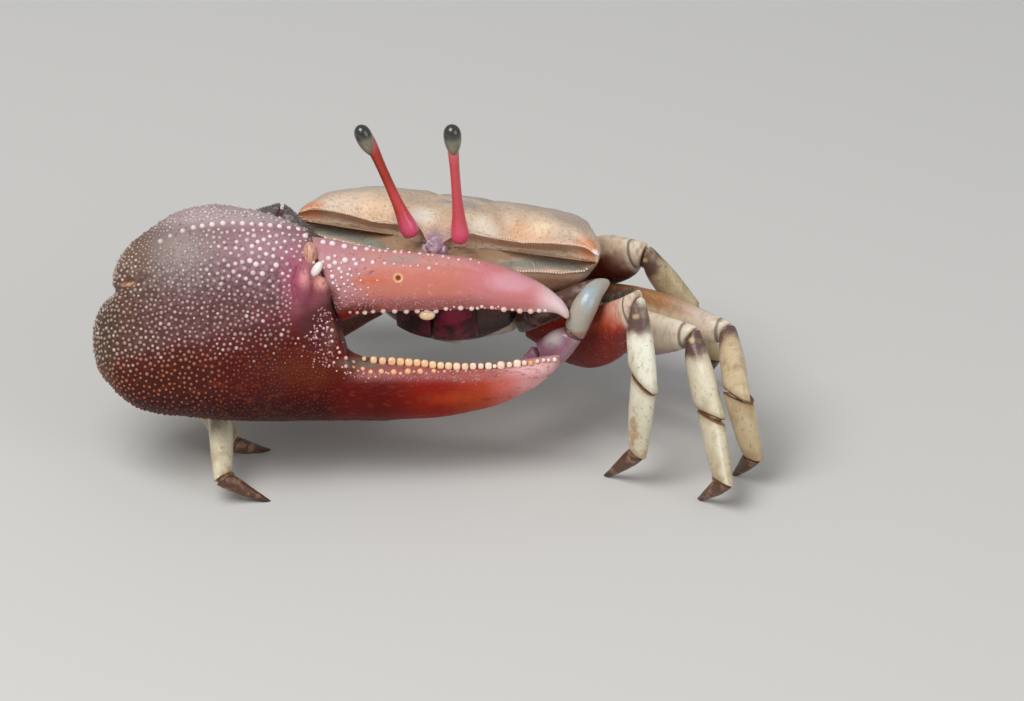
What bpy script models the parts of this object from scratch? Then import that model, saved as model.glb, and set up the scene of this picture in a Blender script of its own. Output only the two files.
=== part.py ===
"""A male fiddler crab at life size, standing with its great claw held across its front.

The crab is a still model of separate shell pieces: trunk, eyes, two claws and eight walking legs.
Lengths below are in millimetres. Crab coordinates have their zero at the brow point, half way
between the two corner teeth of the shell: +X is the crab's left, -Y its front and +Z is up.
"""
import math
import random

import bmesh
import bpy
from mathutils import Matrix, Vector
from mathutils.bvhtree import BVHTree

MM = 0.001
GAP = 0.3
SEED = 7

SHELL_WIDTH = 32.0
BROW_HEIGHT = 21.0
FLOOR = -BROW_HEIGHT
HALF_WIDTH = SHELL_WIDTH / 2

# Front edge of the shell: distance from the middle, then its y and z.
BROW = ((0.0, -5.0, 1.5), (1.0, -4.8, 1.6), (1.7, -3.2, 1.9), (2.9, -2.3, 1.8), (4.0, -1.9, 1.4),
        (6.0, -0.8, 0.6), (8.0, 0.0, 0.1), (12.0, 0.8, 0.2), (14.5, 0.4, 0.4), (16.0, -0.2, 0.0))
# The beaded lip below the eye sockets: distance from the middle, then its y and z.
LIP = ((0.0, -5.1, -1.4), (2.6, -4.8, -1.5), (4.0, -3.8, -1.9), (6.0, -2.0, -2.5), (8.0, -0.7, -2.8),
       (12.0, 0.2, -2.9), (14.5, 0.0, -2.2), (16.0, -0.3, -0.7))
# Beads along the brow and along the lip: spacing, radius, and first and last distance from the middle.
EDGE_BEAD_STEP = 1.25
EDGE_BEAD_RADIUS = 0.36
EDGE_BEAD_SPAN = (4.7, 15.0)
# Middle line of the back, y and z.
BACK = ((-4.8, 1.9), (-2.5, 2.6), (0.0, 2.9), (3.0, 2.6), (6.0, 1.2), (9.0, -0.5), (12.0, -2.6),
        (15.5, -5.6))
# Rear and side edge of the shell: distance from the middle, then y.
REAR = ((0.0, 15.5), (7.0, 15.3), (8.6, 14.4), (10.4, 11.2), (12.4, 7.6), (14.4, 4.2), (15.6, 1.9),
        (16.0, 0.9))
# Underside of the trunk: distance from the middle, then z at its lowest.
KEEL = ((0.0, -12.6), (7.2, -12.3), (7.3, -8.6), (10.0, -7.4), (12.5, -5.8), (14.5, -3.8),
        (15.6, -1.7), (16.0, -1.0))
# Distances from the middle at which the trunk's outline is drawn.
STATIONS = (0.0, 1.0, 1.7, 2.9, 4.0, 5.6, 7.2, 7.3, 9.0, 11.0, 13.0, 14.5, 15.6, 16.0)
# The seam below the back shell, and the plane that parts the face from the thorax.
SHELL_SLOPE = -0.378
SHELL_SEAM_Z = -0.95
FACE_SPLIT = Vector((0, 2.2, -6.0))
FACE_SPLIT_WAY = Vector((0, 0.75, -0.66))

MOUTH_STATIONS = (0.15, 2.2, 4.3)
MOUTH_LEVELS = (-3.4, -5.5, -7.6, -9.4)
MOUTH_THICK = 0.9
# Belly flap: y, height of the trunk above it, half width.
ABDOMEN = ((1.2, -12.6, 1.3), (4.5, -12.4, 1.7), (7.8, -12.2, 2.0), (13.5, -10.3, 2.6))
ABDOMEN_THICK = 0.8

EYE_ROOTS = {"right": Vector((-2.6, -3.8, 0.8)), "left": Vector((2.5, -3.8, 0.8))}
EYE_TIPS = {"right": Vector((-7.9, -4.2, 14.1)), "left": Vector((1.5, -3.8, 15.3))}

# The great claw lies in a tilted plane. Its own coordinates run toward the finger tips, up its face
# and out of its outer face, from a point in the gape below the brow point.
CLAW_TURN = math.radians(16.0)
CLAW_TILT = math.radians(22.0)
CLAW_REACH = 10.4
CLAW_SINK = -5.97

PALM_SIDES = 20
LIMB_SIDES = 10

SHELL = ((0.62, 0.45, 0.30, 1), 0.45)
FACE = ((0.42, 0.32, 0.22, 1), 0.5)
UNDER = ((0.55, 0.44, 0.36, 1), 0.5)
STALK = ((0.80, 0.18, 0.20, 1), 0.35)
CORNEA = ((0.10, 0.12, 0.09, 1), 0.15)
CLAW = ((0.45, 0.04, 0.05, 1), 0.4)
FINGER = ((0.72, 0.22, 0.20, 1), 0.35)
ARM = ((0.22, 0.16, 0.15, 1), 0.5)
SMALL_CLAW = ((0.30, 0.32, 0.33, 1), 0.45)
THIGH = ((0.42, 0.10, 0.05, 1), 0.45)
SHANK = ((0.72, 0.62, 0.46, 1), 0.45)
TOE = ((0.16, 0.08, 0.04, 1), 0.45)


def clear_scene():
    for thing in list(bpy.data.objects):
        bpy.data.objects.remove(thing, do_unlink=True)


def new_group(name):
    group = bpy.data.collections.new(name)
    bpy.context.scene.collection.children.link(group)
    return group


def material(name, finish):
    colour, roughness = finish
    made = bpy.data.materials.new(name)
    made.use_nodes = True
    shader = made.node_tree.nodes["Principled BSDF"]
    shader.inputs["Base Color"].default_value = colour
    shader.inputs["Roughness"].default_value = roughness
    shader.inputs["Metallic"].default_value = 0.0
    made.diffuse_color = colour
    return made


def along(table, where, column=1):
    """Read a table of (place, value, ...) rows between its rows."""
    for low, high in zip(table, table[1:]):
        if where <= high[0]:
            share = (where - low[0]) / (high[0] - low[0])
            share = min(max(share, 0.0), 1.0)
            return low[column] + (high[column] - low[column]) * share
    return table[-1][column]


def loft_mesh(rings):
    """A closed surface through rings of equally many points, capped at both ends."""
    shape = bmesh.new()
    loops = [[shape.verts.new(point) for point in ring] for ring in rings]
    for low, high in zip(loops, loops[1:]):
        for i in range(len(low)):
            j = (i + 1) % len(low)
            shape.faces.new((low[i], low[j], high[j], high[i]))
    shape.faces.new(loops[0])
    shape.faces.new(loops[-1])
    bmesh.ops.recalc_face_normals(shape, faces=shape.faces)
    return shape


def finish(name, shape, look, group):
    """Turn a bmesh in millimetres into a named object in metres."""
    bmesh.ops.triangulate(shape, faces=[face for face in shape.faces if len(face.verts) > 4])
    bmesh.ops.recalc_face_normals(shape, faces=shape.faces)
    shape.transform(Matrix.Scale(MM, 4))
    mesh = bpy.data.meshes.new(name)
    shape.to_mesh(mesh)
    shape.free()
    mesh.shade_smooth()
    mesh.set_sharp_from_angle(angle=math.radians(50))
    mesh.materials.append(material(name, look))
    thing = bpy.data.objects.new(name, mesh)
    group.objects.link(thing)
    return thing


def ellipse(centre, wide, tall, half_wide, half_tall, sides, square=1.0):
    """A ring about centre in the plane of two unit vectors; square below 1 fills its corners."""
    ring = []
    for i in range(sides):
        turn = math.tau * i / sides
        across = math.copysign(abs(math.cos(turn)) ** square, math.cos(turn))
        rise = math.copysign(abs(math.sin(turn)) ** square, math.sin(turn))
        ring.append(centre + wide * (half_wide * across) + tall * (half_tall * rise))
    return ring


def slide_to_plane(ring, direction, point, normal):
    """Move a ring's points along a direction until they lie in a plane."""
    run = direction.dot(normal)
    return [corner + direction * ((point - corner).dot(normal) / run) for corner in ring]


def cut(shape, point, normal):
    """Keep the part of a closed shape behind a plane, and close it there."""
    part = shape.copy()
    everything = part.verts[:] + part.edges[:] + part.faces[:]
    made = bmesh.ops.bisect_plane(part, geom=everything, dist=1e-5, plane_co=point, plane_no=normal,
                                  clear_outer=True)
    rim = [item for item in made["geom_cut"] if isinstance(item, bmesh.types.BMEdge)]
    bmesh.ops.triangle_fill(part, edges=rim, use_beauty=True, use_dissolve=False, normal=normal)
    bmesh.ops.recalc_face_normals(part, faces=part.faces)
    return part


def fuse(name, pieces):
    """Join closed pieces in one Boolean union and keep its largest closed surface."""
    workshop = bpy.data.collections.new(name + "_pieces")
    bpy.context.scene.collection.children.link(workshop)
    first, rest = pieces[0], pieces[1:]
    objects = []
    for piece in rest:
        mesh = bpy.data.meshes.new(name + "_piece")
        piece.to_mesh(mesh)
        piece.free()
        part = bpy.data.objects.new(name + "_piece", mesh)
        workshop.objects.link(part)
        objects.append(part)
    mesh = bpy.data.meshes.new(name + "_core")
    first.to_mesh(mesh)
    first.free()
    core = bpy.data.objects.new(name + "_core", mesh)
    bpy.context.scene.collection.objects.link(core)
    union = core.modifiers.new("union", "BOOLEAN")
    union.operation = "UNION"
    union.operand_type = "COLLECTION"
    union.collection = workshop
    union.solver = "MANIFOLD"
    bpy.context.view_layer.update()
    evaluated = core.evaluated_get(bpy.context.evaluated_depsgraph_get())
    joined = bmesh.new()
    joined.from_mesh(evaluated.to_mesh())
    for part in objects + [core]:
        bpy.data.objects.remove(part, do_unlink=True)
    bpy.data.collections.remove(workshop)
    keep_largest(joined)
    return joined


def keep_largest(shape):
    """Drop every loose or inner surface but the one with the most faces."""
    left = set(shape.faces)
    islands = []
    while left:
        seed = left.pop()
        island = {seed}
        edge_of_island = [seed]
        while edge_of_island:
            face = edge_of_island.pop()
            for edge in face.edges:
                for other in edge.link_faces:
                    if other not in island:
                        island.add(other)
                        left.discard(other)
                        edge_of_island.append(other)
        islands.append(island)
    largest = max(islands, key=len)
    loose = [face for face in shape.faces if face not in largest]
    bmesh.ops.delete(shape, geom=loose, context="FACES")


def bead(place, outward, radius, proud):
    """A small faceted knob that stands proud of a surface, with the rest of it sunk in."""
    shape = bmesh.new()
    bmesh.ops.create_icosphere(shape, subdivisions=1, radius=radius)
    turn = Matrix.Rotation(random.uniform(0, math.tau), 4, outward)
    shape.transform(Matrix.Translation(place - outward * (radius - proud)) @ turn)
    return shape


def bead_on(tree, start, way, radius, proud):
    """A bead where a line from start meets a surface."""
    place, normal, _, _ = tree.ray_cast(start, way)
    return bead(place, normal, radius, proud)


def back_height(x, y):
    drop = 2.9 * (abs(x) / HALF_WIDTH) ** 5.5
    return along(BACK, y) - drop


def trunk_ring(x):
    """The trunk's outline in the plane at x: over the back, down the rear, forward and up the face."""
    side = abs(x)
    brow_y = along(BROW, side)
    brow_z = along(BROW, side, 2)
    rear_y = along(REAR, side)
    keel = along(KEEL, side)
    length = rear_y - brow_y
    taper = min(1.0, length / 8.0)
    ring = []
    for share in (0.0, 0.05, 0.12, 0.22, 0.36, 0.52, 0.70, 0.88, 1.0):
        y = brow_y + length * share
        ease = 1.0 - max(0.0, 1.0 - share / 0.26) ** 2
        ring.append((y, brow_z + (back_height(x, y) - brow_z) * ease))
    rear_z = ring[-1][1]
    ring.append((rear_y - 0.1 * taper, rear_z - 0.8 * taper))
    ring.append((rear_y - 1.0 * taper, 0.6 * rear_z + 0.4 * keel - 0.6 * taper))
    ring.append((rear_y - 1.6 * taper, min(keel * 0.80, rear_z - 1.2 * taper)))
    ring.append((brow_y + length * 0.62, keel * 0.97))
    ring.append((brow_y + length * 0.30, keel))
    lip_y = along(LIP, side)
    lip_z = along(LIP, side, 2)
    floor_z = min(keel * 0.88, lip_z - 0.5 * taper)
    ring.append((lip_y + 1.0 * taper, floor_z))
    ring.append((lip_y + 0.2 * taper, lip_z + 0.62 * (floor_z - lip_z)))
    ring.append((lip_y + 0.1 * taper, lip_z - 0.5 * taper))
    ring.append((lip_y, lip_z + 0.15 * taper))
    ring.append((lip_y + 0.7 * taper, lip_z + 0.6 * taper))
    ring.append((max(brow_y, lip_y) + 1.3 * taper, 0.45 * brow_z + 0.55 * lip_z + 0.2 * taper))
    ring.append((brow_y + 0.9 * taper, brow_z - 0.9 * taper - 0.1))
    return [Vector((x, y, z)) for y, z in ring]


def edge_beads(edge):
    """A row of beads on each half of the brow or of the lip."""
    beads = []
    first, last = EDGE_BEAD_SPAN
    count = round((last - first) / EDGE_BEAD_STEP)
    for sign in (-1, 1):
        for i in range(count + 1):
            side = first + (last - first) * i / count
            place = Vector((sign * side, along(edge, side), along(edge, side, 2)))
            beads.append(bead(place, Vector((0, -1, 0)), EDGE_BEAD_RADIUS, EDGE_BEAD_RADIUS * 0.7))
    return beads


def build_trunk(group):
    """The trunk is made whole, then parted by thin cuts into back shell, face and thorax."""
    places = sorted({-x for x in STATIONS} | set(STATIONS))
    whole = loft_mesh([trunk_ring(x) for x in places])
    seam = Vector((0, 0, SHELL_SEAM_Z))
    up = Vector((0, -SHELL_SLOPE, 1)).normalized()
    shell = cut(whole, seam + up * GAP / 2, -up)
    under = cut(whole, seam - up * GAP / 2, up)
    whole.free()
    lean = FACE_SPLIT_WAY.normalized()
    face = cut(under, FACE_SPLIT - lean * GAP / 2, lean)
    thorax = cut(under, FACE_SPLIT + lean * GAP / 2, -lean)
    under.free()
    finish("carapace", fuse("carapace", [shell] + edge_beads(BROW)), SHELL, group)
    finish("face", fuse("face", [face] + edge_beads(LIP)), FACE, group)
    finish("thorax", thorax, UNDER, group)


def bend(start, middle, end, share):
    """A point on the curve from start to end that bends toward middle, and the curve's way there."""
    first = start.lerp(middle, share)
    second = middle.lerp(end, share)
    return first.lerp(second, share), (second - first).normalized()


def limb(joints, profiles, start, end=None, sags=None, skews=None, hinge=None):
    """Lofted shell segments that meet at mitred joints along one limb.

    The limb bends about its hinge, which lies level and square to its first segment where none is
    given. Each profile row holds a share of the segment's length, its height across the hinge and
    its thickness along it. Start is the normal of the face that the limb grows from, and end is a
    point and a normal that close its last segment. A sag bends a segment's middle, in crab
    coordinates, and a skew turns the joint plane before a segment about the hinge, in degrees.
    """
    count = len(profiles)
    sags = sags or {}
    skews = skews or {}
    hinge = hinge or (joints[1] - joints[0]).cross(Vector((0, 0, 1))).normalized()
    middles = [(a + b) / 2 + sags.get(i, Vector()) for i, (a, b) in enumerate(zip(joints, joints[1:]))]
    cuts = [start]
    for i in range(1, count):
        arrive = (joints[i] - middles[i - 1]).normalized()
        leave = (middles[i] - joints[i]).normalized()
        turn = Matrix.Rotation(math.radians(skews.get(i, 0.0)), 3, hinge)
        cuts.append(turn @ (arrive + leave).normalized())
    shapes = []
    for i, profile in enumerate(profiles):
        rings = []
        ways = []
        for share, tall, thick in profile:
            centre, way = bend(joints[i], middles[i], joints[i + 1], share)
            across = (hinge - way * hinge.dot(way)).normalized()
            rings.append(ellipse(centre, across, across.cross(way), thick / 2, tall / 2, LIMB_SIDES))
            ways.append(way)
        rings[0] = slide_to_plane(rings[0], ways[0], joints[i] + cuts[i] * GAP / 2, cuts[i])
        if i + 1 < count:
            corner = joints[i + 1] - cuts[i + 1] * GAP / 2
            rings[-1] = slide_to_plane(rings[-1], ways[-1], corner, cuts[i + 1])
        elif end:
            rings[-1] = slide_to_plane(rings[-1], ways[-1], *end)
        shapes.append(loft_mesh(rings))
    return shapes


LEG_PARTS = ("thigh", "wrist", "shin", "toe")
LEG_PROFILES = (
    ((0.0, 2.9, 2.2), (0.12, 2.9, 2.2), (0.26, 4.2, 2.5), (0.45, 5.5, 2.8), (0.65, 5.6, 2.8),
     (0.84, 4.3, 2.6), (1.0, 2.5, 2.1)),
    ((0.0, 2.2, 2.0), (0.28, 3.0, 2.5), (0.52, 3.5, 2.6), (0.75, 3.7, 2.5), (1.0, 3.5, 2.2)),
    ((0.0, 3.3, 2.2), (0.28, 3.4, 2.2), (0.58, 3.1, 2.1), (0.86, 2.7, 1.8), (1.0, 2.4, 1.7)),
    ((0.0, 1.9, 1.5), (0.3, 1.8, 1.4), (0.7, 1.1, 0.9), (1.0, 0.6, 0.6)),
)
# How far each thigh's middle is pulled from the straight line between hip and knee, doubled.
THIGH_SAGS = {"leg_left_1": (0, 2.2, -7.2), "leg_left_2": (0, 0.0, -1.4), "leg_left_3": (0, 1.4, -0.6),
              "leg_left_4": (0, 0.6, 0.0), "leg_right_1": (0, 0.8, -2.4), "leg_right_2": (0, 1.2, -0.4),
              "leg_right_3": (0, 0.8, -1.0), "leg_right_4": (0, 0, -1.6)}
# The front thigh of the left side is this much deeper than the others.
FRONT_THIGH_DEPTH = 1.2
# The turn of each leg's joint between wrist and shin, in degrees.
WRIST_SKEWS = {"leg_left_1": -36.0, "leg_left_2": -46.0, "leg_left_3": -42.0, "leg_left_4": -30.0,
               "leg_right_1": -20.0, "leg_right_2": -20.0, "leg_right_3": -30.0, "leg_right_4": -30.0}
# Hip, knee, wrist, ankle and toe tip of each leg, with heights above the floor.
LEG_JOINTS = {
    "leg_left_1": ((7.5, 2.9, 10.4), (21.8, -6.0, 18.8), (23.2, -8.4, 12.0), (22.9, -9.6, 4.1),
                   (19.3, -8.2, 0.0)),
    "leg_left_2": ((7.5, 6.1, 10.4), (26.4, -1.6, 13.8), (29.5, -5.7, 7.5), (32.6, -11.6, 3.3),
                   (29.7, -10.1, 0.0)),
    "leg_left_3": ((7.5, 9.3, 10.6), (29.1, 2.3, 12.6), (32.3, -5.3, 9.9), (34.1, -5.9, 3.4),
                   (31.8, -4.4, 0.0)),
    "leg_left_4": ((7.5, 12.4, 11.0), (18.9, 7.5, 17.4), (22.5, 8.9, 11.6), (25.2, 11.4, 4.3),
                   (23.3, 13.5, 0.0)),
    "leg_right_1": ((-7.5, 2.9, 10.4), (-20.5, -8.8, 9.9), (-19.3, -16.8, 5.8), (-16.8, -24.2, 2.9),
                    (-12.7, -22.6, 0.0)),
    "leg_right_2": ((-7.5, 6.1, 10.4), (-25.3, -4.1, 12.3), (-24.5, -11.1, 6.8), (-18.2, -16.2, 2.2),
                    (-15.6, -12.9, 0.0)),
    "leg_right_3": ((-7.5, 9.3, 10.6), (-25.2, 2.7, 15.0), (-28.8, -0.5, 9.3), (-28.6, -3.5, 2.9),
                    (-24.0, -5.3, 0.0)),
    "leg_right_4": ((-7.5, 12.4, 11.0), (-19.7, 8.2, 12.7), (-24.0, 7.7, 8.3), (-24.9, 6.9, 2.8),
                    (-21.2, 5.9, 0.0)),
}


def build_legs(group):
    floor = (Vector((0, 0, FLOOR)), Vector((0, 0, 1)))
    for leg, places in LEG_JOINTS.items():
        joints = [Vector((x, y, z + FLOOR)) for x, y, z in places]
        outward = Vector((math.copysign(1, joints[0].x), 0, 0))
        sag = Vector(THIGH_SAGS[leg])
        profiles = list(LEG_PROFILES)
        if leg == "leg_left_1":
            profiles[0] = [(share, tall * FRONT_THIGH_DEPTH, thick) for share, tall, thick in profiles[0]]
        shapes = limb(joints, profiles, outward, floor, sags={0: sag}, skews={2: WRIST_SKEWS[leg]})
        for part, look, shape in zip(LEG_PARTS, (THIGH, SHANK, SHANK, TOE), shapes):
            finish(leg + "_" + part, shape, look, group)


STALK_PROFILE = ((0.0, 1.0), (0.05, 1.0), (0.13, 0.85), (0.3, 0.58), (0.6, 0.5), (0.78, 0.62))
EYE_PROFILE = ((0.8, 0.70), (0.86, 0.95), (0.93, 0.95), (0.98, 0.70), (1.0, 0.35))


def build_eyes(group):
    for side, root in EYE_ROOTS.items():
        reach = EYE_TIPS[side] - root
        way = reach.normalized()
        wide = way.cross(Vector((0, 1, 0))).normalized()
        tall = wide.cross(way)
        for name, profile, look in (("eyestalk_", STALK_PROFILE, STALK), ("eye_", EYE_PROFILE, CORNEA)):
            rings = [ellipse(root + reach * share, wide, tall, r, r, LIMB_SIDES) for share, r in profile]
            finish(name + side, loft_mesh(rings), look, group)


def claw_axes():
    turn, tilt = CLAW_TURN, CLAW_TILT
    toward = Vector((math.cos(turn), math.sin(turn), 0))
    out = Vector((math.sin(turn) * math.cos(tilt), -math.cos(turn) * math.cos(tilt), math.sin(tilt)))
    face_up = out.cross(toward)
    start = Vector((math.sin(turn), -math.cos(turn), 0)) * CLAW_REACH + Vector((0, 0, CLAW_SINK))
    return start, toward, face_up, out


def claw_point(a, b, c):
    start, toward, face_up, out = claw_axes()
    return start + toward * a + face_up * b + out * c


# Palm sections: place along the claw, lowest and highest edge, half thickness, lean of the section.
PALM = ((-35.8, -3.2, 1.4, 1.6, 0.0), (-35.0, -5.0, 3.6, 3.2, 0.0), (-33.6, -6.4, 6.8, 4.6, 0.05),
        (-31.4, -7.5, 10.0, 5.4, 0.08), (-27.6, -8.3, 12.2, 5.9, 0.10), (-23.5, -8.5, 13.1, 6.1, 0.12),
        (-19.5, -8.6, 12.6, 6.0, 0.12), (-16.5, -8.7, 11.6, 5.6, 0.10), (-13.4, -8.7, 10.4, 4.8, 0.06),
        (-9.0, -8.7, 9.0, 4.0, 0.0))
# The palm ends at this slope, from its top corner to the corner of the gape.
PALM_END = ((-14.3, 10.4), (-10.9, 0.4))
# Fixed finger sections: place, lower edge, toothed edge, half thickness.
POLLEX = ((-17.5, -7.9, -1.4, 3.9), (-13.0, -8.6, -0.8, 4.1), (-9.2, -8.7, -1.8, 3.9),
          (-5.0, -8.65, -2.6, 3.4), (0.0, -8.3, -2.9, 2.9), (3.2, -7.7, -2.9, 2.6), (6.4, -6.6, -2.7, 2.2),
          (9.0, -5.2, -2.4, 1.7), (10.8, -3.6, -2.1, 1.1), (11.5, -2.6, -2.0, 0.5))
# Moving finger sections: place, toothed edge, upper edge, half thickness.
DACTYL = ((-15.5, 1.6, 10.4, 2.8), (-12.4, 1.2, 9.9, 3.1), (-10.6, 1.4, 9.5, 3.2), (-9.2, 2.3, 9.1, 3.1),
          (-6.5, 2.3, 8.8, 3.0), (-3.6, 2.4, 8.5, 2.9), (0.0, 2.6, 8.2, 2.7), (3.2, 2.7, 7.8, 2.5),
          (6.4, 2.4, 6.8, 2.2), (9.2, 2.2, 5.2, 1.7), (11.2, 1.9, 3.6, 1.1), (12.2, 1.5, 2.3, 0.5))
# Tubercles of the palm: spacing, and radius at its top and at its foot.
TUBERCLE_STEP = 1.85
TUBERCLE_TOP = 0.55
TUBERCLE_FOOT = 0.36
TUBERCLE_SPAN = (-34.2, -13.0)
# The arc that they cover, in degrees from the palm's foot over its outer face to its top.
TUBERCLE_ARC = (-62.0, 112.0)
# The row of large tubercles along the palm's upper margin, place and height.
CREST = ((-30.1, 9.2), (-28.1, 10.0), (-25.1, 11.2), (-20.0, 11.6), (-14.6, 10.6))
CREST_STEP = 1.25
CREST_RADIUS = 0.6
# Teeth along the edges of both fingers: first and last place, spacing and radius.
POLLEX_TEETH = (-9.4, 10.6, 1.12, 0.48)
DACTYL_TEETH = (-8.6, 11.0, 1.12, 0.44)
POLLEX_ROW = (-8.6, 3.0, 1.3, 0.36)
POLLEX_ROW_HEIGHT = -3.9
DACTYL_ROW = (-11.6, 1.6, 1.5, 0.36)
DACTYL_ROW_HEIGHT = 7.3
GREAT_TOOTH = (-2.0, 0.95)
# The smooth lobes of the moving finger's hinge on the palm's face: centre and half sizes.
HINGE_LOBES = (((-14.3, 4.6, 3.75), (1.35, 2.3, 1.25)), ((-12.6, 4.1, 3.35), (1.4, 1.9, 1.2)),
               ((-13.3, 2.5, 3.0), (2.0, 2.6, 1.5)))
# Where the arm of the great claw grows out of the palm's inner face: place, height and boss depth.
PALM_BOSS = (-22.2, 8.2, -9.2)
BOSS_SIZE = (2.5, 2.9)

GREAT_ROOT = Vector((-7.5, -0.2, -9.4))
GREAT_ELBOW = Vector((-10.2, -4.0, -6.6))
GREAT_KNEE = Vector((-17.5, -2.4, -0.6))
GREAT_PROFILES = (
    ((0.0, 2.5, 2.0), (0.3, 2.7, 2.3), (0.7, 3.4, 2.8), (1.0, 3.7, 3.1)),
    ((0.0, 3.6, 3.2), (0.2, 4.4, 3.6), (0.5, 5.2, 4.2), (0.8, 5.4, 4.2), (1.0, 5.0, 4.0)),
    ((0.0, 4.8, 3.9), (0.3, 5.3, 4.2), (0.7, 5.2, 4.0), (1.0, 4.8, 3.9)),
)

SMALL_ROOT = Vector((7.5, 0.1, -9.5))
SMALL_ELBOW = Vector((10.0, -3.0, -6.6))
SMALL_KNEE = Vector((17.0, -2.1, -2.1))
SMALL_WRIST = Vector((14.9, -5.0, -6.6))
SMALL_KNUCKLE = Vector((11.9, -5.4, -9.6))
SMALL_TIP = Vector((8.7, -6.0, -12.3))
SMALL_WRIST_ARCH = Vector((0.4, -1.6, 3.0))
SMALL_HINGE = Vector((0.89, -0.29, -0.35))
SMALL_FINGER_SPREAD = 0.95
SMALL_PROFILES = (
    ((0.0, 2.0, 2.2), (0.5, 2.1, 2.4), (1.0, 2.2, 2.6)),
    ((0.0, 2.0, 2.4), (0.3, 2.1, 2.8), (0.7, 1.9, 2.5), (1.0, 1.5, 1.6)),
    ((0.0, 1.5, 1.6), (0.28, 2.2, 2.2), (0.6, 2.9, 2.9), (0.82, 2.7, 2.8), (1.0, 2.2, 2.5)),
    ((0.0, 1.9, 2.3), (0.25, 2.2, 3.0), (0.65, 2.4, 3.6), (1.0, 2.2, 3.4)),
)
SMALL_FINGER = ((0.0, 1.5, 1.6), (0.3, 1.4, 1.5), (0.7, 1.1, 1.3), (1.0, 0.6, 0.7))


def claw_section(a, low, high, thick, lean=0.0, sides=PALM_SIDES, square=0.9):
    _, _, face_up, out = claw_axes()
    tall = (face_up - out * lean).normalized()
    return ellipse(claw_point(a, (low + high) / 2, 0), out, tall, thick, (high - low) / 2, sides, square)


def spaced(first, last, step):
    count = max(1, round((last - first) / step))
    return [first + (last - first) * i / count for i in range(count + 1)]


def finger_teeth(shape, sections, teeth, sign, row, height):
    """Teeth along a finger's biting edge, and a row of tubercles on its outer face."""
    _, _, face_up, out = claw_axes()
    tree = BVHTree.FromBMesh(shape)
    first, last, step, radius = teeth
    beads = []
    for a in spaced(first, last, step):
        middle = (along(sections, a) + along(sections, a, 2)) / 2
        size = radius * random.uniform(0.8, 1.15)
        beads.append(bead_on(tree, claw_point(a, middle, 0.3), face_up * sign, size, size * 0.85))
    first, last, step, radius = row
    for a in spaced(first, last, step):
        size = radius * random.uniform(0.8, 1.15)
        beads.append(bead_on(tree, claw_point(a, height, 9.0), -out, size, size * 0.6))
    return beads


def palm_tubercles(palm):
    """Tubercles over the palm's outer face and top, smaller toward its foot, and the large row."""
    _, _, face_up, out = claw_axes()
    tree = BVHTree.FromBMesh(palm)
    beads = []
    low_turn, high_turn = (math.radians(turn) for turn in TUBERCLE_ARC)
    for number, a in enumerate(spaced(*TUBERCLE_SPAN, TUBERCLE_STEP)):
        low, high, thick = (along(PALM, a, column) for column in (1, 2, 3))
        middle = claw_point(a, (low + high) / 2, 0)
        count = max(3, round((high_turn - low_turn) * (high - low) * 0.4 / TUBERCLE_STEP))
        for i in range(count):
            share = (i + 0.25 + 0.5 * (number % 2) + random.uniform(-0.12, 0.12)) / count
            turn = low_turn + (high_turn - low_turn) * share
            way = out * (thick * math.cos(turn)) + face_up * ((high - low) / 2 * math.sin(turn))
            radius = (TUBERCLE_FOOT + (TUBERCLE_TOP - TUBERCLE_FOOT) * share) * random.uniform(0.85, 1.15)
            beads.append(bead_on(tree, middle, way.normalized(), radius, radius * 0.6))
    for a in spaced(CREST[0][0], CREST[-1][0], CREST_STEP):
        start = claw_point(a, along(CREST, a), 12.0)
        beads.append(bead_on(tree, start, -out, CREST_RADIUS, CREST_RADIUS * 0.8))
    return beads


def hinge_lobes(corner, end):
    """The hinge's lobes, each a ball stretched along the claw's axes and cut at the palm's end."""
    _, toward, face_up, out = claw_axes()
    turn = Matrix((toward, face_up, out)).transposed().to_4x4()
    lobes = []
    for centre, half_sizes in HINGE_LOBES:
        ball = bmesh.new()
        bmesh.ops.create_icosphere(ball, subdivisions=2, radius=1.0)
        place = Matrix.Translation(claw_point(*centre))
        ball.transform(place @ turn @ Matrix.Diagonal(half_sizes).to_4x4())
        lobes.append(cut(ball, corner, end))
        ball.free()
    return lobes


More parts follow.
